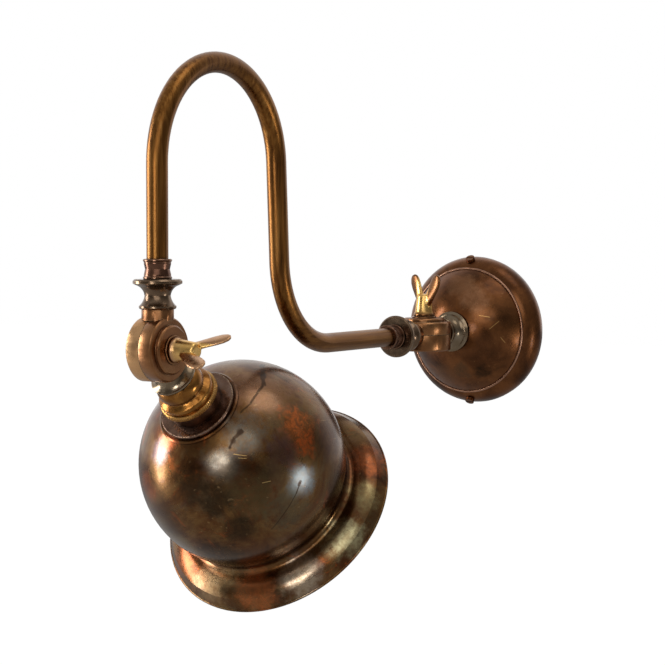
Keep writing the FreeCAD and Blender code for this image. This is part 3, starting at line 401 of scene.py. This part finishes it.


# Marks placed where the photograph shows such a mark: pixel and size in mm. Most are patina, drips, blots and
# scratches; the rows noted are painted highlights, painted reflections and painted shade.
DOME_CLOUDS_AND_PAINTED_LIGHT = (
    # pixel, size, ragged edge, colour, share, mottle
    # lighter on top of the dome: partly patina, partly a painted reflection of the bright ceiling
    ((262, 392), 26.0, 0.9, tint(134, 98, 74), 0.75, 0.4),
    # these four grey patches sit where the lamps' highlights fall: painted highlight on grey patina
    ((246, 436), 20.0, 0.9, tint(100, 100, 92), 0.75, 0.5),
    ((222, 462), 15.0, 0.7, tint(134, 132, 122), 0.75, 0.3),
    ((301, 480), 14.0, 0.7, tint(118, 132, 138), 0.80, 0.3),
    ((160, 452), 12.0, 0.8, tint(132, 116, 118), 0.65, 0.3),
    ((298, 424), 16.0, 1.1, tint(206, 108, 50), 0.90, 0.85),
    ((304, 446), 11.0, 1.1, tint(208, 98, 40), 0.90, 0.8),
    ((282, 452), 16.0, 1.0, tint(104, 74, 68), 0.70, 0.4),
    # darker middle of the dome: painted reflection of the dark room in front
    ((240, 482), 26.0, 1.1, tint(60, 42, 20), 0.75, 0.3),
    ((190, 400), 20.0, 1.0, tint(140, 88, 60), 0.70, 0.4),
    ((170, 440), 10.0, 1.0, tint(182, 92, 54), 0.75, 0.6),
    ((148, 486), 14.0, 1.0, tint(168, 88, 38), 0.75, 0.6),
    ((252, 500), 20.0, 1.0, tint(96, 80, 48), 0.60, 0.4),
    ((288, 510), 18.0, 1.0, tint(92, 86, 66), 0.60, 0.4),
    # dark band down the right side, this row and the next: painted reflection
    ((330, 440), 21.0, 0.4, tint(60, 33, 15), 0.90, 0.2),
    ((338, 490), 22.0, 0.4, tint(68, 40, 18), 0.85, 0.2),
    ((190, 488), 17.0, 1.1, tint(54, 36, 16), 0.85, 0.3),
    ((216, 502), 14.0, 1.1, tint(50, 34, 15), 0.85, 0.3),
    # dark shape low on the dome: painted reflection
    ((238, 530), 15.0, 0.5, tint(40, 26, 12), 0.85, 0.2),
    ((222, 556), 22.0, 0.8, tint(48, 31, 15), 0.85, 0.3),
    ((170, 520), 20.0, 0.9, tint(70, 44, 22), 0.75, 0.3),
)
FLANGE_CLOUDS_AND_HIGHLIGHTS = (
    # angle round the shade in degrees from its top, size in mm, colour, share; the pale cream and olive
    # patches at 84, 110, 140 and 195 degrees are a painted highlight along the crest, the orange ones patina
    (84.0, 14.0, tint(150, 134, 92), 0.80),
    (110.0, 17.0, tint(196, 186, 142), 0.85),
    (60.0, 16.0, tint(150, 80, 40), 0.80),
    (36.0, 18.0, tint(126, 98, 60), 0.70),
    (140.0, 18.0, tint(186, 168, 144), 0.80),
    (165.0, 18.0, tint(176, 98, 52), 0.80),
    (195.0, 20.0, tint(156, 128, 92), 0.80),
    (220.0, 18.0, tint(148, 80, 42), 0.85),
    (300.0, 26.0, tint(126, 92, 56), 0.70),
)
DRIPS = (
    # start pixel, stop pixel, half width in mm
    ((262, 364), (263, 386), 1.9),
    ((263, 385), (250, 404), 1.0),
    ((251, 403), (240, 413), 0.6),
    ((243, 430), (233, 439), 1.4),
    ((234, 438), (229, 448), 0.8),
    ((300.5, 480), (298.5, 486), 1.2),
    ((299, 485), (296, 494), 0.6),
    ((297, 492), (271, 530), 0.35),
)
BLOTS = (
    # pixel, size in mm
    ((262, 374), 4.2), ((240, 432), 3.0), ((233, 441), 2.6), ((230, 448), 1.6), ((300, 483), 1.4),
)
SHADE_SCRATCH_WIDTH = 0.25 * MM
ROSE_SCRATCH_WIDTH = 0.17 * MM
WORN_REACH = 0.7 * MM
SHADE_SCRATCHES = (((233, 454), (247, 456)), ((238, 458), (247, 458.5)), ((262, 483), (271, 481)))
ROSE_SCRATCHES = (((483, 315), (492, 317)), ((492, 329), (499, 321)), ((500, 337), (503, 343)))
ROSE_PAINTED_LIGHT = (
    # pixel, size in mm, ragged edge, colour, share; all of them painted light and shade on the rose's face
    # lighter upper-left of the face, this row and the next: painted highlight
    ((474, 298), 16.0, 0.9, tint(164, 116, 82), 0.75),
    ((462, 284), 13.0, 0.9, tint(134, 94, 64), 0.65),
    # spots beside the collar: painted reflection of the collar, with a painted highlight in the third
    ((463, 310), 3.6, 0.4, tint(78, 44, 42), 0.75),
    ((473, 319), 4.0, 0.4, tint(104, 62, 58), 0.75),
    ((476, 315), 3.0, 0.5, tint(168, 132, 122), 0.6),
    # dark patches low on the face under the arm, down to the next heading row: painted shadow and painted
    # shade
    ((482, 372), 9.0, 0.9, tint(34, 24, 13), 0.85),
    ((464, 366), 10.0, 0.9, tint(74, 62, 46), 0.60),
    ((504, 372), 13.0, 1.1, tint(56, 36, 20), 0.70),
    ((448, 372), 12.0, 1.0, tint(104, 70, 44), 0.60),
    # near-black upper-right rim, this row and the next: painted shade
    ((530, 270), 20.0, 0.9, tint(26, 17, 10), 0.85),
    ((500, 256), 14.0, 0.9, tint(44, 27, 15), 0.75),
    # lighter right rim: painted highlight
    ((538, 345), 12.0, 0.7, tint(150, 104, 68), 0.70),
)


def shade_patina():
    """Glossy heat-coloured brown with grey, violet and orange clouds, some of them painted highlights and
    painted reflections, drips, blots and scratches.
    """
    finish = Finish("shade_patina", metallic=0.97, coat=0.14, coat_roughness=0.10)
    base = finish.ramp(finish.noise(19.0, 8.0, 0.66, 0.9), [
        (0.34, tint(62, 34, 14)), (0.44, tint(94, 58, 27)), (0.52, tint(116, 82, 44)),
        (0.60, tint(88, 49, 22)), (0.70, tint(122, 66, 30)),
    ])
    haze = finish.level(finish.noise(34.0, 8.0, 0.7, 0.5), 0.48, 0.64, 0.0, 0.40)
    base = finish.mix(haze, base, tint(112, 100, 72))
    violet = finish.level(finish.noise(27.0, 8.0, 0.7, 0.7), 0.56, 0.66, 0.0, 0.35)
    base = finish.mix(violet, base, tint(100, 66, 58))
    warm = finish.level(finish.noise(52.0, 8.0, 0.74, 0.9), 0.57, 0.66, 0.0, 0.60)
    base = finish.mix(warm, base, tint(168, 86, 36))
    for pixel, size, ragged, colour, share, mottle in DOME_CLOUDS_AND_PAINTED_LIGHT:
        base = finish.mix(finish.near(on_dome(pixel), size * MM, ragged, share, mottle), base, colour)
    for angle, size, colour, share in FLANGE_CLOUDS_AND_HIGHLIGHTS:
        base = finish.mix(finish.near(on_flange(angle), size * MM, 1.0, share, 0.5), base, colour)
    stain = tint(48, 31, 16)
    for start, stop, half_width in DRIPS:
        first, last = on_dome(start), on_dome(stop)
        outward = (first.lerp(last, 0.5) - DOME_CENTRE).normalized()
        width = half_width * MM
        base = finish.mix(finish.stroke(first, last, outward, width, 0.8, width), base, stain)
    for pixel, size in BLOTS:
        base = finish.mix(finish.near(on_dome(pixel), size * MM, 0.3, 0.8), base, stain)
    speckle = finish.level(finish.noise(300.0, 5.0, 0.7, 0.4), 0.66, 0.74, 0.0, 0.5)
    base = finish.mix(speckle, base, tint(46, 28, 15))
    for start, stop in SHADE_SCRATCHES:
        first, last = on_dome(start), on_dome(stop)
        outward = (first - DOME_CENTRE).normalized()
        scratch = finish.stroke(first, last, outward, SHADE_SCRATCH_WIDTH, 0.7)
        base = finish.mix(scratch, base, tint(222, 184, 120))
    base = finish.mix(finish.scratches(300.0, 0.71, 0.75, 0.2), base, tint(196, 160, 112))
    base = finish.dirt_and_painted_shade(base, 0.005, 0.35)
    finish.colour(base)
    finish.roughness(finish.level(finish.noise(36.0, 6.0, 0.6, 0.5), 0.34, 0.66, 0.20, 0.32))
    finish.bump(finish.noise(55.0, 4.0, 0.5), 0.0002, 0.2)
    return finish.material


def moulding(name, shade, gloss):
    """Moulded or glazed insulator with slight mottling."""
    finish = Finish(name, metallic=0.0)
    darker = tuple(0.86 * part for part in shade[:3]) + (1.0,)
    base = finish.ramp(finish.noise(400.0), [(0.3, darker), (0.7, shade)])
    finish.colour(finish.dirt_and_painted_shade(base, 0.003, 0.4))
    finish.roughness(finish.level(finish.noise(700.0), 0.3, 0.7, gloss, gloss + 0.15))
    finish.bump(finish.noise(1200.0), 0.00002)
    return finish.material


# name, shades, roughness at the glossiest, and what differs from patina's own settings
PATINAS = (
    # lighter bronze of the rose's bead: painted highlight along its edge
    ("bead_bronze_painted_highlight", [(140, 100, 76), (172, 128, 102), (184, 142, 116)], 0.25,
     {"contrast": 0.3, "crevice": 0.4 * MM}),
    ("dark_bronze", [(88, 68, 52), (116, 94, 74), (138, 118, 96)], 0.16, {"contrast": 0.3, "wear": 0.5}),
    ("ferrule_bronze", [(84, 56, 42), (112, 78, 60), (134, 98, 78)], 0.20, {"contrast": 0.3, "wear": 0.4}),
    ("collar_brass", [(96, 80, 60), (126, 108, 86), (156, 142, 122)], 0.15, {"contrast": 0.3, "wear": 0.4}),
    ("knuckle_bronze", [(116, 74, 42), (142, 96, 60), (160, 116, 76)], 0.25,
     {"contrast": 0.35, "blotch": 60.0, "wear": 0.7}),
    # the knuckle's bronze made lighter: painted light from the left on the lamp knuckle's rear half
    ("knuckle_bronze_painted_lit", [(172, 124, 80), (204, 156, 108), (218, 174, 126)], 0.25,
     {"contrast": 0.35, "blotch": 60.0, "wear": 0.7}),
    ("cap_brass", [(108, 66, 26), (146, 96, 42), (178, 124, 60)], 0.18,
     {"contrast": 0.35, "blotch": 110.0, "wear": 0.6}),
    ("knurl_brass", [(166, 116, 56), (196, 146, 80), (210, 164, 98)], 0.2,
     {"contrast": 0.3, "crevice": 1.2 * MM}),
    ("ring_brass", [(92, 66, 50), (120, 92, 76), (140, 116, 104)], 0.2, {"contrast": 0.35, "wear": 0.6}),
    ("holder_brass", [(66, 42, 27), (88, 60, 42), (108, 80, 62)], 0.22, {"contrast": 0.3, "wear": 0.5}),
    ("plated_steel", [(140, 140, 138), (178, 178, 174), (204, 202, 196)], 0.30, {}),
    ("plain_brass", [(176, 138, 70), (206, 170, 96), (220, 188, 118)], 0.26, {}),
    ("spring_steel", [(150, 150, 150), (190, 190, 190), (214, 212, 208)], 0.28, {}),
)
NUT_SHADES = [(206, 156, 84), (234, 186, 108), (242, 200, 126)]
NUT_SETTINGS = {"contrast": 0.3, "blotch": 110.0}
ROSE_SHADES = [(56, 33, 17), (94, 56, 30), (122, 76, 42), (84, 52, 30)]


def make_finishes():
    """One material for each slot of the record, and some of their own for single nodes and pieces."""
    outward = Vector((0.0, -1.0, 0.0))
    rose_painted_light = [(on_rose(pixel), size * MM, ragged, colour, share)
                   for pixel, size, ragged, colour, share in ROSE_PAINTED_LIGHT]
    rose_marks = [(on_rose(start), on_rose(stop), outward) for start, stop in ROSE_SCRATCHES]
    rows = list(PATINAS)
    rows.append(("rose_bronze", ROSE_SHADES, 0.24, {
        "blotch": 42.0, "contrast": 0.55, "coat": 0.10, "crevice": 1.2 * MM,
        "marks": rose_marks, "clouds": rose_painted_light,
    }))
    rows.append(("bright_brass", NUT_SHADES, 0.22, NUT_SETTINGS))
    for name, pivot, axis, colour in (
            ("wall_nut_brass", WALL_PIVOT, UP, tint(120, 80, 48)),
            # lighter wings of the lamp nut: painted highlight
            ("lamp_nut_brass", LAMP_PIVOT, ACROSS, tint(190, 146, 108))):
        rows.append((name, NUT_SHADES, 0.22, {**NUT_SETTINGS, "wing_tone_and_sheen": (pivot, axis, colour)}))
    made = {
        "tube_brass": tube_brass(),
        "shade_patina": shade_patina(),
        "white_moulding": moulding("white_moulding", tint(232, 228, 216), 0.42),
        "core_moulding": moulding("core_moulding", tint(222, 214, 196), 0.18),
    }
    for name, shades, gloss, settings in rows:
        made[name] = patina(name, [tint(*shade) for shade in shades], gloss, **settings)
    return made


# ---- pieces that replace or dress CAD nodes -------------------------------------------------------

def mesh_piece(name, body, vertices, faces):
    """New smooth-shaded piece that rides on a CAD body."""
    mesh = bpy.data.meshes.new(name)
    mesh.from_pydata([tuple(vertex) for vertex in vertices], [], faces)
    mesh.update()
    shape = bmesh.new()
    shape.from_mesh(mesh)
    bmesh.ops.recalc_face_normals(shape, faces=shape.faces)
    shape.to_mesh(mesh)
    shape.free()
    for polygon in mesh.polygons:
        polygon.use_smooth = True
    piece = bpy.data.objects.new(name, mesh)
    bpy.context.scene.collection.objects.link(piece)
    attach(piece, body)
    return piece


def axes_about(axis, hint):
    """Two unit vectors square to an axis; the first lies nearest the hint."""
    axis = axis.normalized()
    first = (hint - axis * hint.dot(axis)).normalized()
    return first, axis.cross(first)


def lathe(outline, origin, axis, count, wave=None):
    """Vertices and faces of a closed outline of (radius, along) turned round an axis.

    wave(turn, index) gives an extra radius for an outline point at a turn, both counted from 0.
    """
    first, second = axes_about(axis, Vector((0.3, 0.5, 0.8)))
    vertices = []
    for turn in range(count):
        angle = math.tau * turn / count
        out = first * math.cos(angle) + second * math.sin(angle)
        for index, (radius, along) in enumerate(outline):
            extra = wave(turn, index) if wave else 0.0
            vertices.append(origin + axis * along + out * (radius + extra))
    size = len(outline)
    faces = []
    for turn in range(count):
        after = (turn + 1) % count
        for index in range(size):
            following = (index + 1) % size
            faces.append((turn * size + index, after * size + index, after * size + following,
                          turn * size + following))
    return vertices, faces


def add_bevel(piece):
    """Softens sharp edges with real geometry."""
    weld = piece.modifiers.new("weld", "WELD")
    weld.merge_threshold = 0.002 * MM
    bevel = piece.modifiers.new("bevel", "BEVEL")
    bevel.width = 0.4 * MM
    bevel.segments = 2
    bevel.limit_method = "ANGLE"
    bevel.angle_limit = math.radians(35.0)
    bevel.harden_normals = True


def make_knurled_ring(finish):
    """Union ring with fine straight knurling round its edge."""
    teeth = 92
    steps = 4                       # steps of the lathe to one tooth and its gap
    depth = 0.35 * MM
    low, high = RING_ALONG
    soft = 0.5 * MM
    outline = [
        (RING_BORE, low), (RING_RADIUS - soft * 2, low), (RING_RADIUS - soft, low + soft * 0.4),
        (RING_RADIUS, low + soft * 1.6), (RING_RADIUS, high - soft * 1.6),
        (RING_RADIUS - soft, high - soft * 0.4), (RING_RADIUS - soft * 2, high), (RING_BORE, high),
    ]
    toothed = (3, 4)                # points of the outline that the teeth are cut in

    def wave(turn, index):
        return -depth if index in toothed and turn % steps >= steps // 2 else 0.0

    vertices, faces = lathe(outline, AXIS_START, LAMP_AXIS, teeth * steps, wave)
    ring = mesh_piece("knurled_union_ring", "lamp_head", vertices, faces)
    ring.data.materials.append(finish)
    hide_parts("knurled_ring")
    smooth_by_angle(ring, 25.0)


def smooth_by_angle(piece, angle):
    """Marks edges sharper than an angle, so that flats and rounds both shade true."""
    shape = bmesh.new()
    shape.from_mesh(piece.data)
    limit = math.radians(angle)
    for edge in shape.edges:
        if len(edge.link_faces) == 2:
            edge.smooth = edge.calc_face_angle(0.0) < limit
    shape.to_mesh(piece.data)
    shape.free()


BOSS_OUTLINE = (
    # radius, along, all mm
    (7.0, 0.0), (7.5, 0.6), (7.4, 1.6), (6.5, 3.2), (6.1, 6.0), (5.5, 11.0), (5.0, 14.4), (4.4, 15.3),
    (3.4, 15.7),
)
WING_STATIONS = (
    # out, along, half width, half thickness, all mm
    (1.0, 7.4, 3.6, 2.6),
    (4.0, 10.2, 3.7, 2.3),
    (6.8, 13.6, 4.1, 1.9),
    (9.4, 17.4, 4.7, 1.7),
    (12.0, 21.4, 5.2, 1.6),
    (14.2, 24.9, 5.0, 1.5),
    (15.8, 27.4, 3.8, 1.3),
    (16.6, 28.8, 1.8, 0.9),
)
SECTION_POINTS = 20
BOSS_POINTS = 64
NUT_VOXEL = 0.22 * MM
NUT_SMOOTHING = 36                  # passes that round the remeshed casting


def wing_mesh(foot, axis, side_out, normal, spread):
    """Upswept wing: rounded sections set along a gently curved line."""
    vertices = []
    count = len(WING_STATIONS)
    centres = [foot + (side_out * (out * spread) + axis * along) * MM for out, along, _, _ in WING_STATIONS]
    for index, (_, _, half_width, half_thick) in enumerate(WING_STATIONS):
        heading = (centres[min(index + 1, count - 1)] - centres[max(index - 1, 0)]).normalized()
        across = heading.cross(normal).normalized()
        for step in range(SECTION_POINTS):
            angle = math.tau * step / SECTION_POINTS
            vertices.append(centres[index] + across * (half_width * MM * math.cos(angle))
                            + normal * (half_thick * MM * math.sin(angle)))
    faces = []
    for index in range(count - 1):
        for step in range(SECTION_POINTS):
            after = (step + 1) % SECTION_POINTS
            low, high = index * SECTION_POINTS, (index + 1) * SECTION_POINTS
            faces.append((low + step, low + after, high + after, high + step))
    faces.append(tuple(range(SECTION_POINTS))[::-1])
    faces.append(tuple(range((count - 1) * SECTION_POINTS, count * SECTION_POINTS)))
    return vertices, faces


def make_wing_nut(name, body, node, pivot, axis, wing_out, spreads, finish):
    """Cast wing nut whose boss and wings flow into each other; spreads lean its two wings out."""
    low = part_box(node)[0]
    index = max(range(3), key=lambda item: abs(axis[item]))
    foot = pivot.copy()
    foot[index] = low[index]
    vertices, faces = [], []
    first, second = axes_about(axis, wing_out)
    for radius, along in BOSS_OUTLINE:
        for turn in range(BOSS_POINTS):
            angle = math.tau * turn / BOSS_POINTS
            out = first * math.cos(angle) + second * math.sin(angle)
            vertices.append(foot + axis * (along * MM) + out * (radius * MM))
    last = len(BOSS_OUTLINE) - 1
    for ring in range(last):
        for turn in range(BOSS_POINTS):
            after = (turn + 1) % BOSS_POINTS
            here, there = ring * BOSS_POINTS, (ring + 1) * BOSS_POINTS
            faces.append((here + turn, here + after, there + after, there + turn))
    faces.append(tuple(range(BOSS_POINTS))[::-1])
    faces.append(tuple(range(last * BOSS_POINTS, (last + 1) * BOSS_POINTS)))
    normal = axis.cross(wing_out).normalized()
    for sign, spread in zip((-1.0, 1.0), spreads):
        more, more_faces = wing_mesh(foot, axis, wing_out * sign, normal, spread)
        start = len(vertices)
        vertices += more
        faces += [tuple(start + corner for corner in face) for face in more_faces]
    nut = mesh_piece(name, body, vertices, faces)
    remesh = nut.modifiers.new("remesh", "REMESH")
    remesh.mode = "VOXEL"
    remesh.voxel_size = NUT_VOXEL
    remesh.use_smooth_shade = True
    smooth = nut.modifiers.new("smooth", "SMOOTH")
    smooth.factor = 0.5
    smooth.iterations = NUT_SMOOTHING
    nut.data.materials.append(finish)
    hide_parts(node)


BEAD_TURNS = 240


def bead_outline(radius, along, half_width, half_height, points):
    """Elliptic section of a bead round an axis."""
    turns = [math.tau * step / points for step in range(points)]
    return [(radius + half_width * math.cos(turn), along + half_height * math.sin(turn)) for turn in turns]


def make_rim_bead(finish):
    """Wired edge rolled round the mouth of the shade."""
    outline = bead_outline(RIM_RADIUS - 0.5 * MM, RIM_ALONG, 0.9 * MM, 0.9 * MM, 10)
    vertices, faces = lathe(outline, AXIS_START, LAMP_AXIS, BEAD_TURNS)
    bead = mesh_piece("shade_rim_bead", "lamp_head", vertices, faces)
    bead.data.materials.append(finish)


def make_rose_bead(finish):
    """Fine raised bead that runs round the step of the rose."""
    outline = bead_outline(44.9 * MM, 17.2 * MM, 0.9 * MM, 1.05 * MM, 12)
    vertices, faces = lathe(outline, Vector((0, 0, 0)), Vector((0, -1, 0)), BEAD_TURNS)
    bead = mesh_piece("rose_step_bead", "wall_base", vertices, faces)
    bead.data.materials.append(finish)


def make_spring(node_name):
    """Copy of a contact's spring with a mesh of its own, carried by the lamp head in place of the node."""
    mesh = frame["nodes"][node_name].data.copy()
    spring = bpy.data.objects.new(node_name + "_coil", mesh)
    bpy.context.scene.collection.objects.link(spring)
    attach(spring, "lamp_head")
    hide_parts(node_name)
    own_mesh(spring)


# ---- studio ---------------------------------------------------------------------------------------

FLOOR_LEVEL = -0.40
FLOOR_SIZE = 6.0
FLOOR_COLOUR = (0.35, 0.35, 0.35, 1.0)
FLOOR_GLOW = 1.10           # white where the floor is seen
FLOOR_SEEN = 0.90           # share of that glow for the camera; the rest is real shading with the shadow
FLOOR_MIRRORED = 0.12       # and its share in what the metal mirrors
ROOM_LEVEL = 0.16           # dim side of the studio, behind the camera
CEILING_LEVEL = 0.50
BACKDROP_SHARE = 0.8        # of white, in the light that the backdrop gives
# name, pixel where the dome mirrors it, distance, width and height in metres, radiance
LAMPS = (
    ("key", (219.5, 462.0), 1.5, 0.46, 0.42, 7.0),
    ("front", (238.0, 442.0), 1.6, 1.20, 0.80, 1.5),
    ("side", (301.7, 478.0), 0.9, 0.24, 0.22, 7.5),
    ("strip", (161.7, 452.0), 1.2, 0.36, 1.2, 12.0),
    ("ceiling", (262.0, 400.0), 1.5, 0.8, 0.8, 1.6),
)


def smooth_step(nodes, links, value, low, high, bottom, top):
    """Value eased from bottom to top while the input goes from low to high."""
    step = nodes.new("ShaderNodeMapRange")
    step.interpolation_type = "SMOOTHSTEP"
    for name, number in (("From Min", low), ("From Max", high), ("To Min", bottom), ("To Max", top)):
        step.inputs[name].default_value = number
    links.new(value, step.inputs["Value"])
    return step.outputs["Result"]


def combine(nodes, links, first, second, operation="MAXIMUM"):
    """Larger of two values, or their product with MULTIPLY; the second may be a number."""
    node = nodes.new("ShaderNodeMath")
    node.operation = operation
    links.new(first, node.inputs[0])
    if isinstance(second, float):
        node.inputs[1].default_value = second
    else:
        links.new(second, node.inputs[1])
    return node.outputs[0]


def make_world():
    """White backdrop behind the object, soft ceiling above it, dim room on the photographer's side."""
    world = bpy.data.worlds.new("studio")
    bpy.context.scene.world = world
    world.use_nodes = True
    nodes, links = world.node_tree.nodes, world.node_tree.links
    background = nodes["Background"]
    direction = nodes.new("ShaderNodeTexCoord").outputs["Generated"]
    facing = nodes.new("ShaderNodeVectorMath")
    facing.operation = "DOT_PRODUCT"
    facing.inputs[1].default_value = (LOOK.x, LOOK.y, 0.0)
    links.new(direction, facing.inputs[0])
    upward = nodes.new("ShaderNodeSeparateXYZ")
    links.new(direction, upward.inputs[0])
    backdrop = smooth_step(nodes, links, facing.outputs["Value"], 0.05, 0.65, 0.0, 1.0)
    room = smooth_step(nodes, links, upward.outputs["Z"], 0.25, 0.85, ROOM_LEVEL, CEILING_LEVEL)
    room = combine(nodes, links, room, combine(nodes, links, backdrop, BACKDROP_SHARE, "MULTIPLY"))
    path = nodes.new("ShaderNodeLightPath")
    seen = combine(nodes, links, path.outputs["Is Glossy Ray"], backdrop, "MULTIPLY")
    for ray in ("Is Camera Ray", "Is Transmission Ray"):
        seen = combine(nodes, links, seen, path.outputs[ray])
    level = combine(nodes, links, room, seen)
    links.new(level, background.inputs["Color"])
    background.inputs["Strength"].default_value = 1.0


def make_floor():
    """Pale floor: nearly white to the camera, paler than its shading to glossy rays, real to the rest."""
    mesh = bpy.data.meshes.new("floor")
    corners = [(x * FLOOR_SIZE, y * FLOOR_SIZE, FLOOR_LEVEL) for x, y in ((-1, -1), (1, -1), (1, 1), (-1, 1))]
    mesh.from_pydata(corners, [], [(0, 1, 2, 3)])
    floor = bpy.data.objects.new("floor", mesh)
    bpy.context.scene.collection.objects.link(floor)
    material = bpy.data.materials.new("floor")
    material.use_nodes = True
    nodes, links = material.node_tree.nodes, material.node_tree.links
    shader = nodes["Principled BSDF"]
    shader.inputs["Base Color"].default_value = FLOOR_COLOUR
    shader.inputs["Roughness"].default_value = 0.9
    glow = nodes.new("ShaderNodeEmission")
    glow.inputs["Strength"].default_value = FLOOR_GLOW
    path = nodes.new("ShaderNodeLightPath")
    share = combine(nodes, links, path.outputs["Is Camera Ray"], path.outputs["Is Transmission Ray"])
    share = combine(nodes, links, share, FLOOR_SEEN, "MULTIPLY")
    mirrored = combine(nodes, links, path.outputs["Is Glossy Ray"], FLOOR_MIRRORED, "MULTIPLY")
    share = combine(nodes, links, share, mirrored)
    blend = nodes.new("ShaderNodeMixShader")
    links.new(share, blend.inputs[0])
    links.new(shader.outputs[0], blend.inputs[1])
    links.new(glow.outputs[0], blend.inputs[2])
    links.new(blend.outputs[0], nodes["Material Output"].inputs["Surface"])
    mesh.materials.append(material)


def make_softbox(name, pixel, distance, width, height, radiance):
    """Area lamp that the shade's dome mirrors at a pixel of the photograph."""
    spot = on_dome(pixel)
    normal = (spot - DOME_CENTRE).normalized()
    ray = photo_ray(pixel)
    mirrored = ray - normal * (2.0 * ray.dot(normal))
    data = bpy.data.lights.new(name, "AREA")
    data.shape = "ELLIPSE"
    data.size = width
    data.size_y = height
    data.energy = radiance * math.pi ** 2 / 4.0 * width * height
    lamp = bpy.data.objects.new(name, data)
    lamp.location = spot + mirrored * distance
    lamp.rotation_euler = (-mirrored).to_track_quat("-Z", "Y").to_euler()
    bpy.context.scene.collection.objects.link(lamp)


# ---- build ----------------------------------------------------------------------------------------

OWN_FINISH = {
    "lampholder_cap": "cap_brass",
    "upper_shade_ring": "ring_brass",
    # lighter copy of the knuckle's bronze: painted light from the left
    "lamp_knuckle_shade": "knuckle_bronze_painted_lit",
}
finishes = make_finishes()
node_slots = {entry["node"]: entry["material_slot"] for entry in frame["record"]["subparts"]}
for node_name, node in frame["nodes"].items():
    material = finishes[OWN_FINISH.get(node_name, node_slots[node_name])]
    if not node.material_slots:
        node.data.materials.append(material)
    for slot in node.material_slots:
        slot.material = material

for node_name in ("rose_cover", "wall_knuckle_base", "wall_knuckle_arm", "lamp_knuckle_arm",
                  "lamp_knuckle_shade", "lampholder_cap", "upper_shade_ring", "wall_washer", "lamp_washer"):
    add_bevel(frame["nodes"][node_name])

make_knurled_ring(finishes["knurl_brass"])
wall_turn, lamp_turn = math.radians(24.0), math.radians(28.0)
make_wing_nut("wall_wing_casting", "wall_nut", "wall_wing_nut", WALL_PIVOT, UP,
              Vector((math.cos(wall_turn), -math.sin(wall_turn), 0.0)), (0.75, 1.0),
              finishes["wall_nut_brass"])
make_wing_nut("lamp_wing_casting", "lamp_nut", "lamp_wing_nut", LAMP_PIVOT, ACROSS,
              Vector((0.0, math.cos(lamp_turn), math.sin(lamp_turn))), (1.0, 1.0),
              finishes["lamp_nut_brass"])
make_rim_bead(finishes["shade_patina"])
make_rose_bead(finishes["bead_bronze_painted_highlight"])
for number in ("1", "2"):
    make_spring("plunger_spring_" + number)

make_camera()
make_world()
make_floor()
for lamp in LAMPS:
    make_softbox(*lamp)
bpy.context.scene.view_settings.view_transform = "Standard"
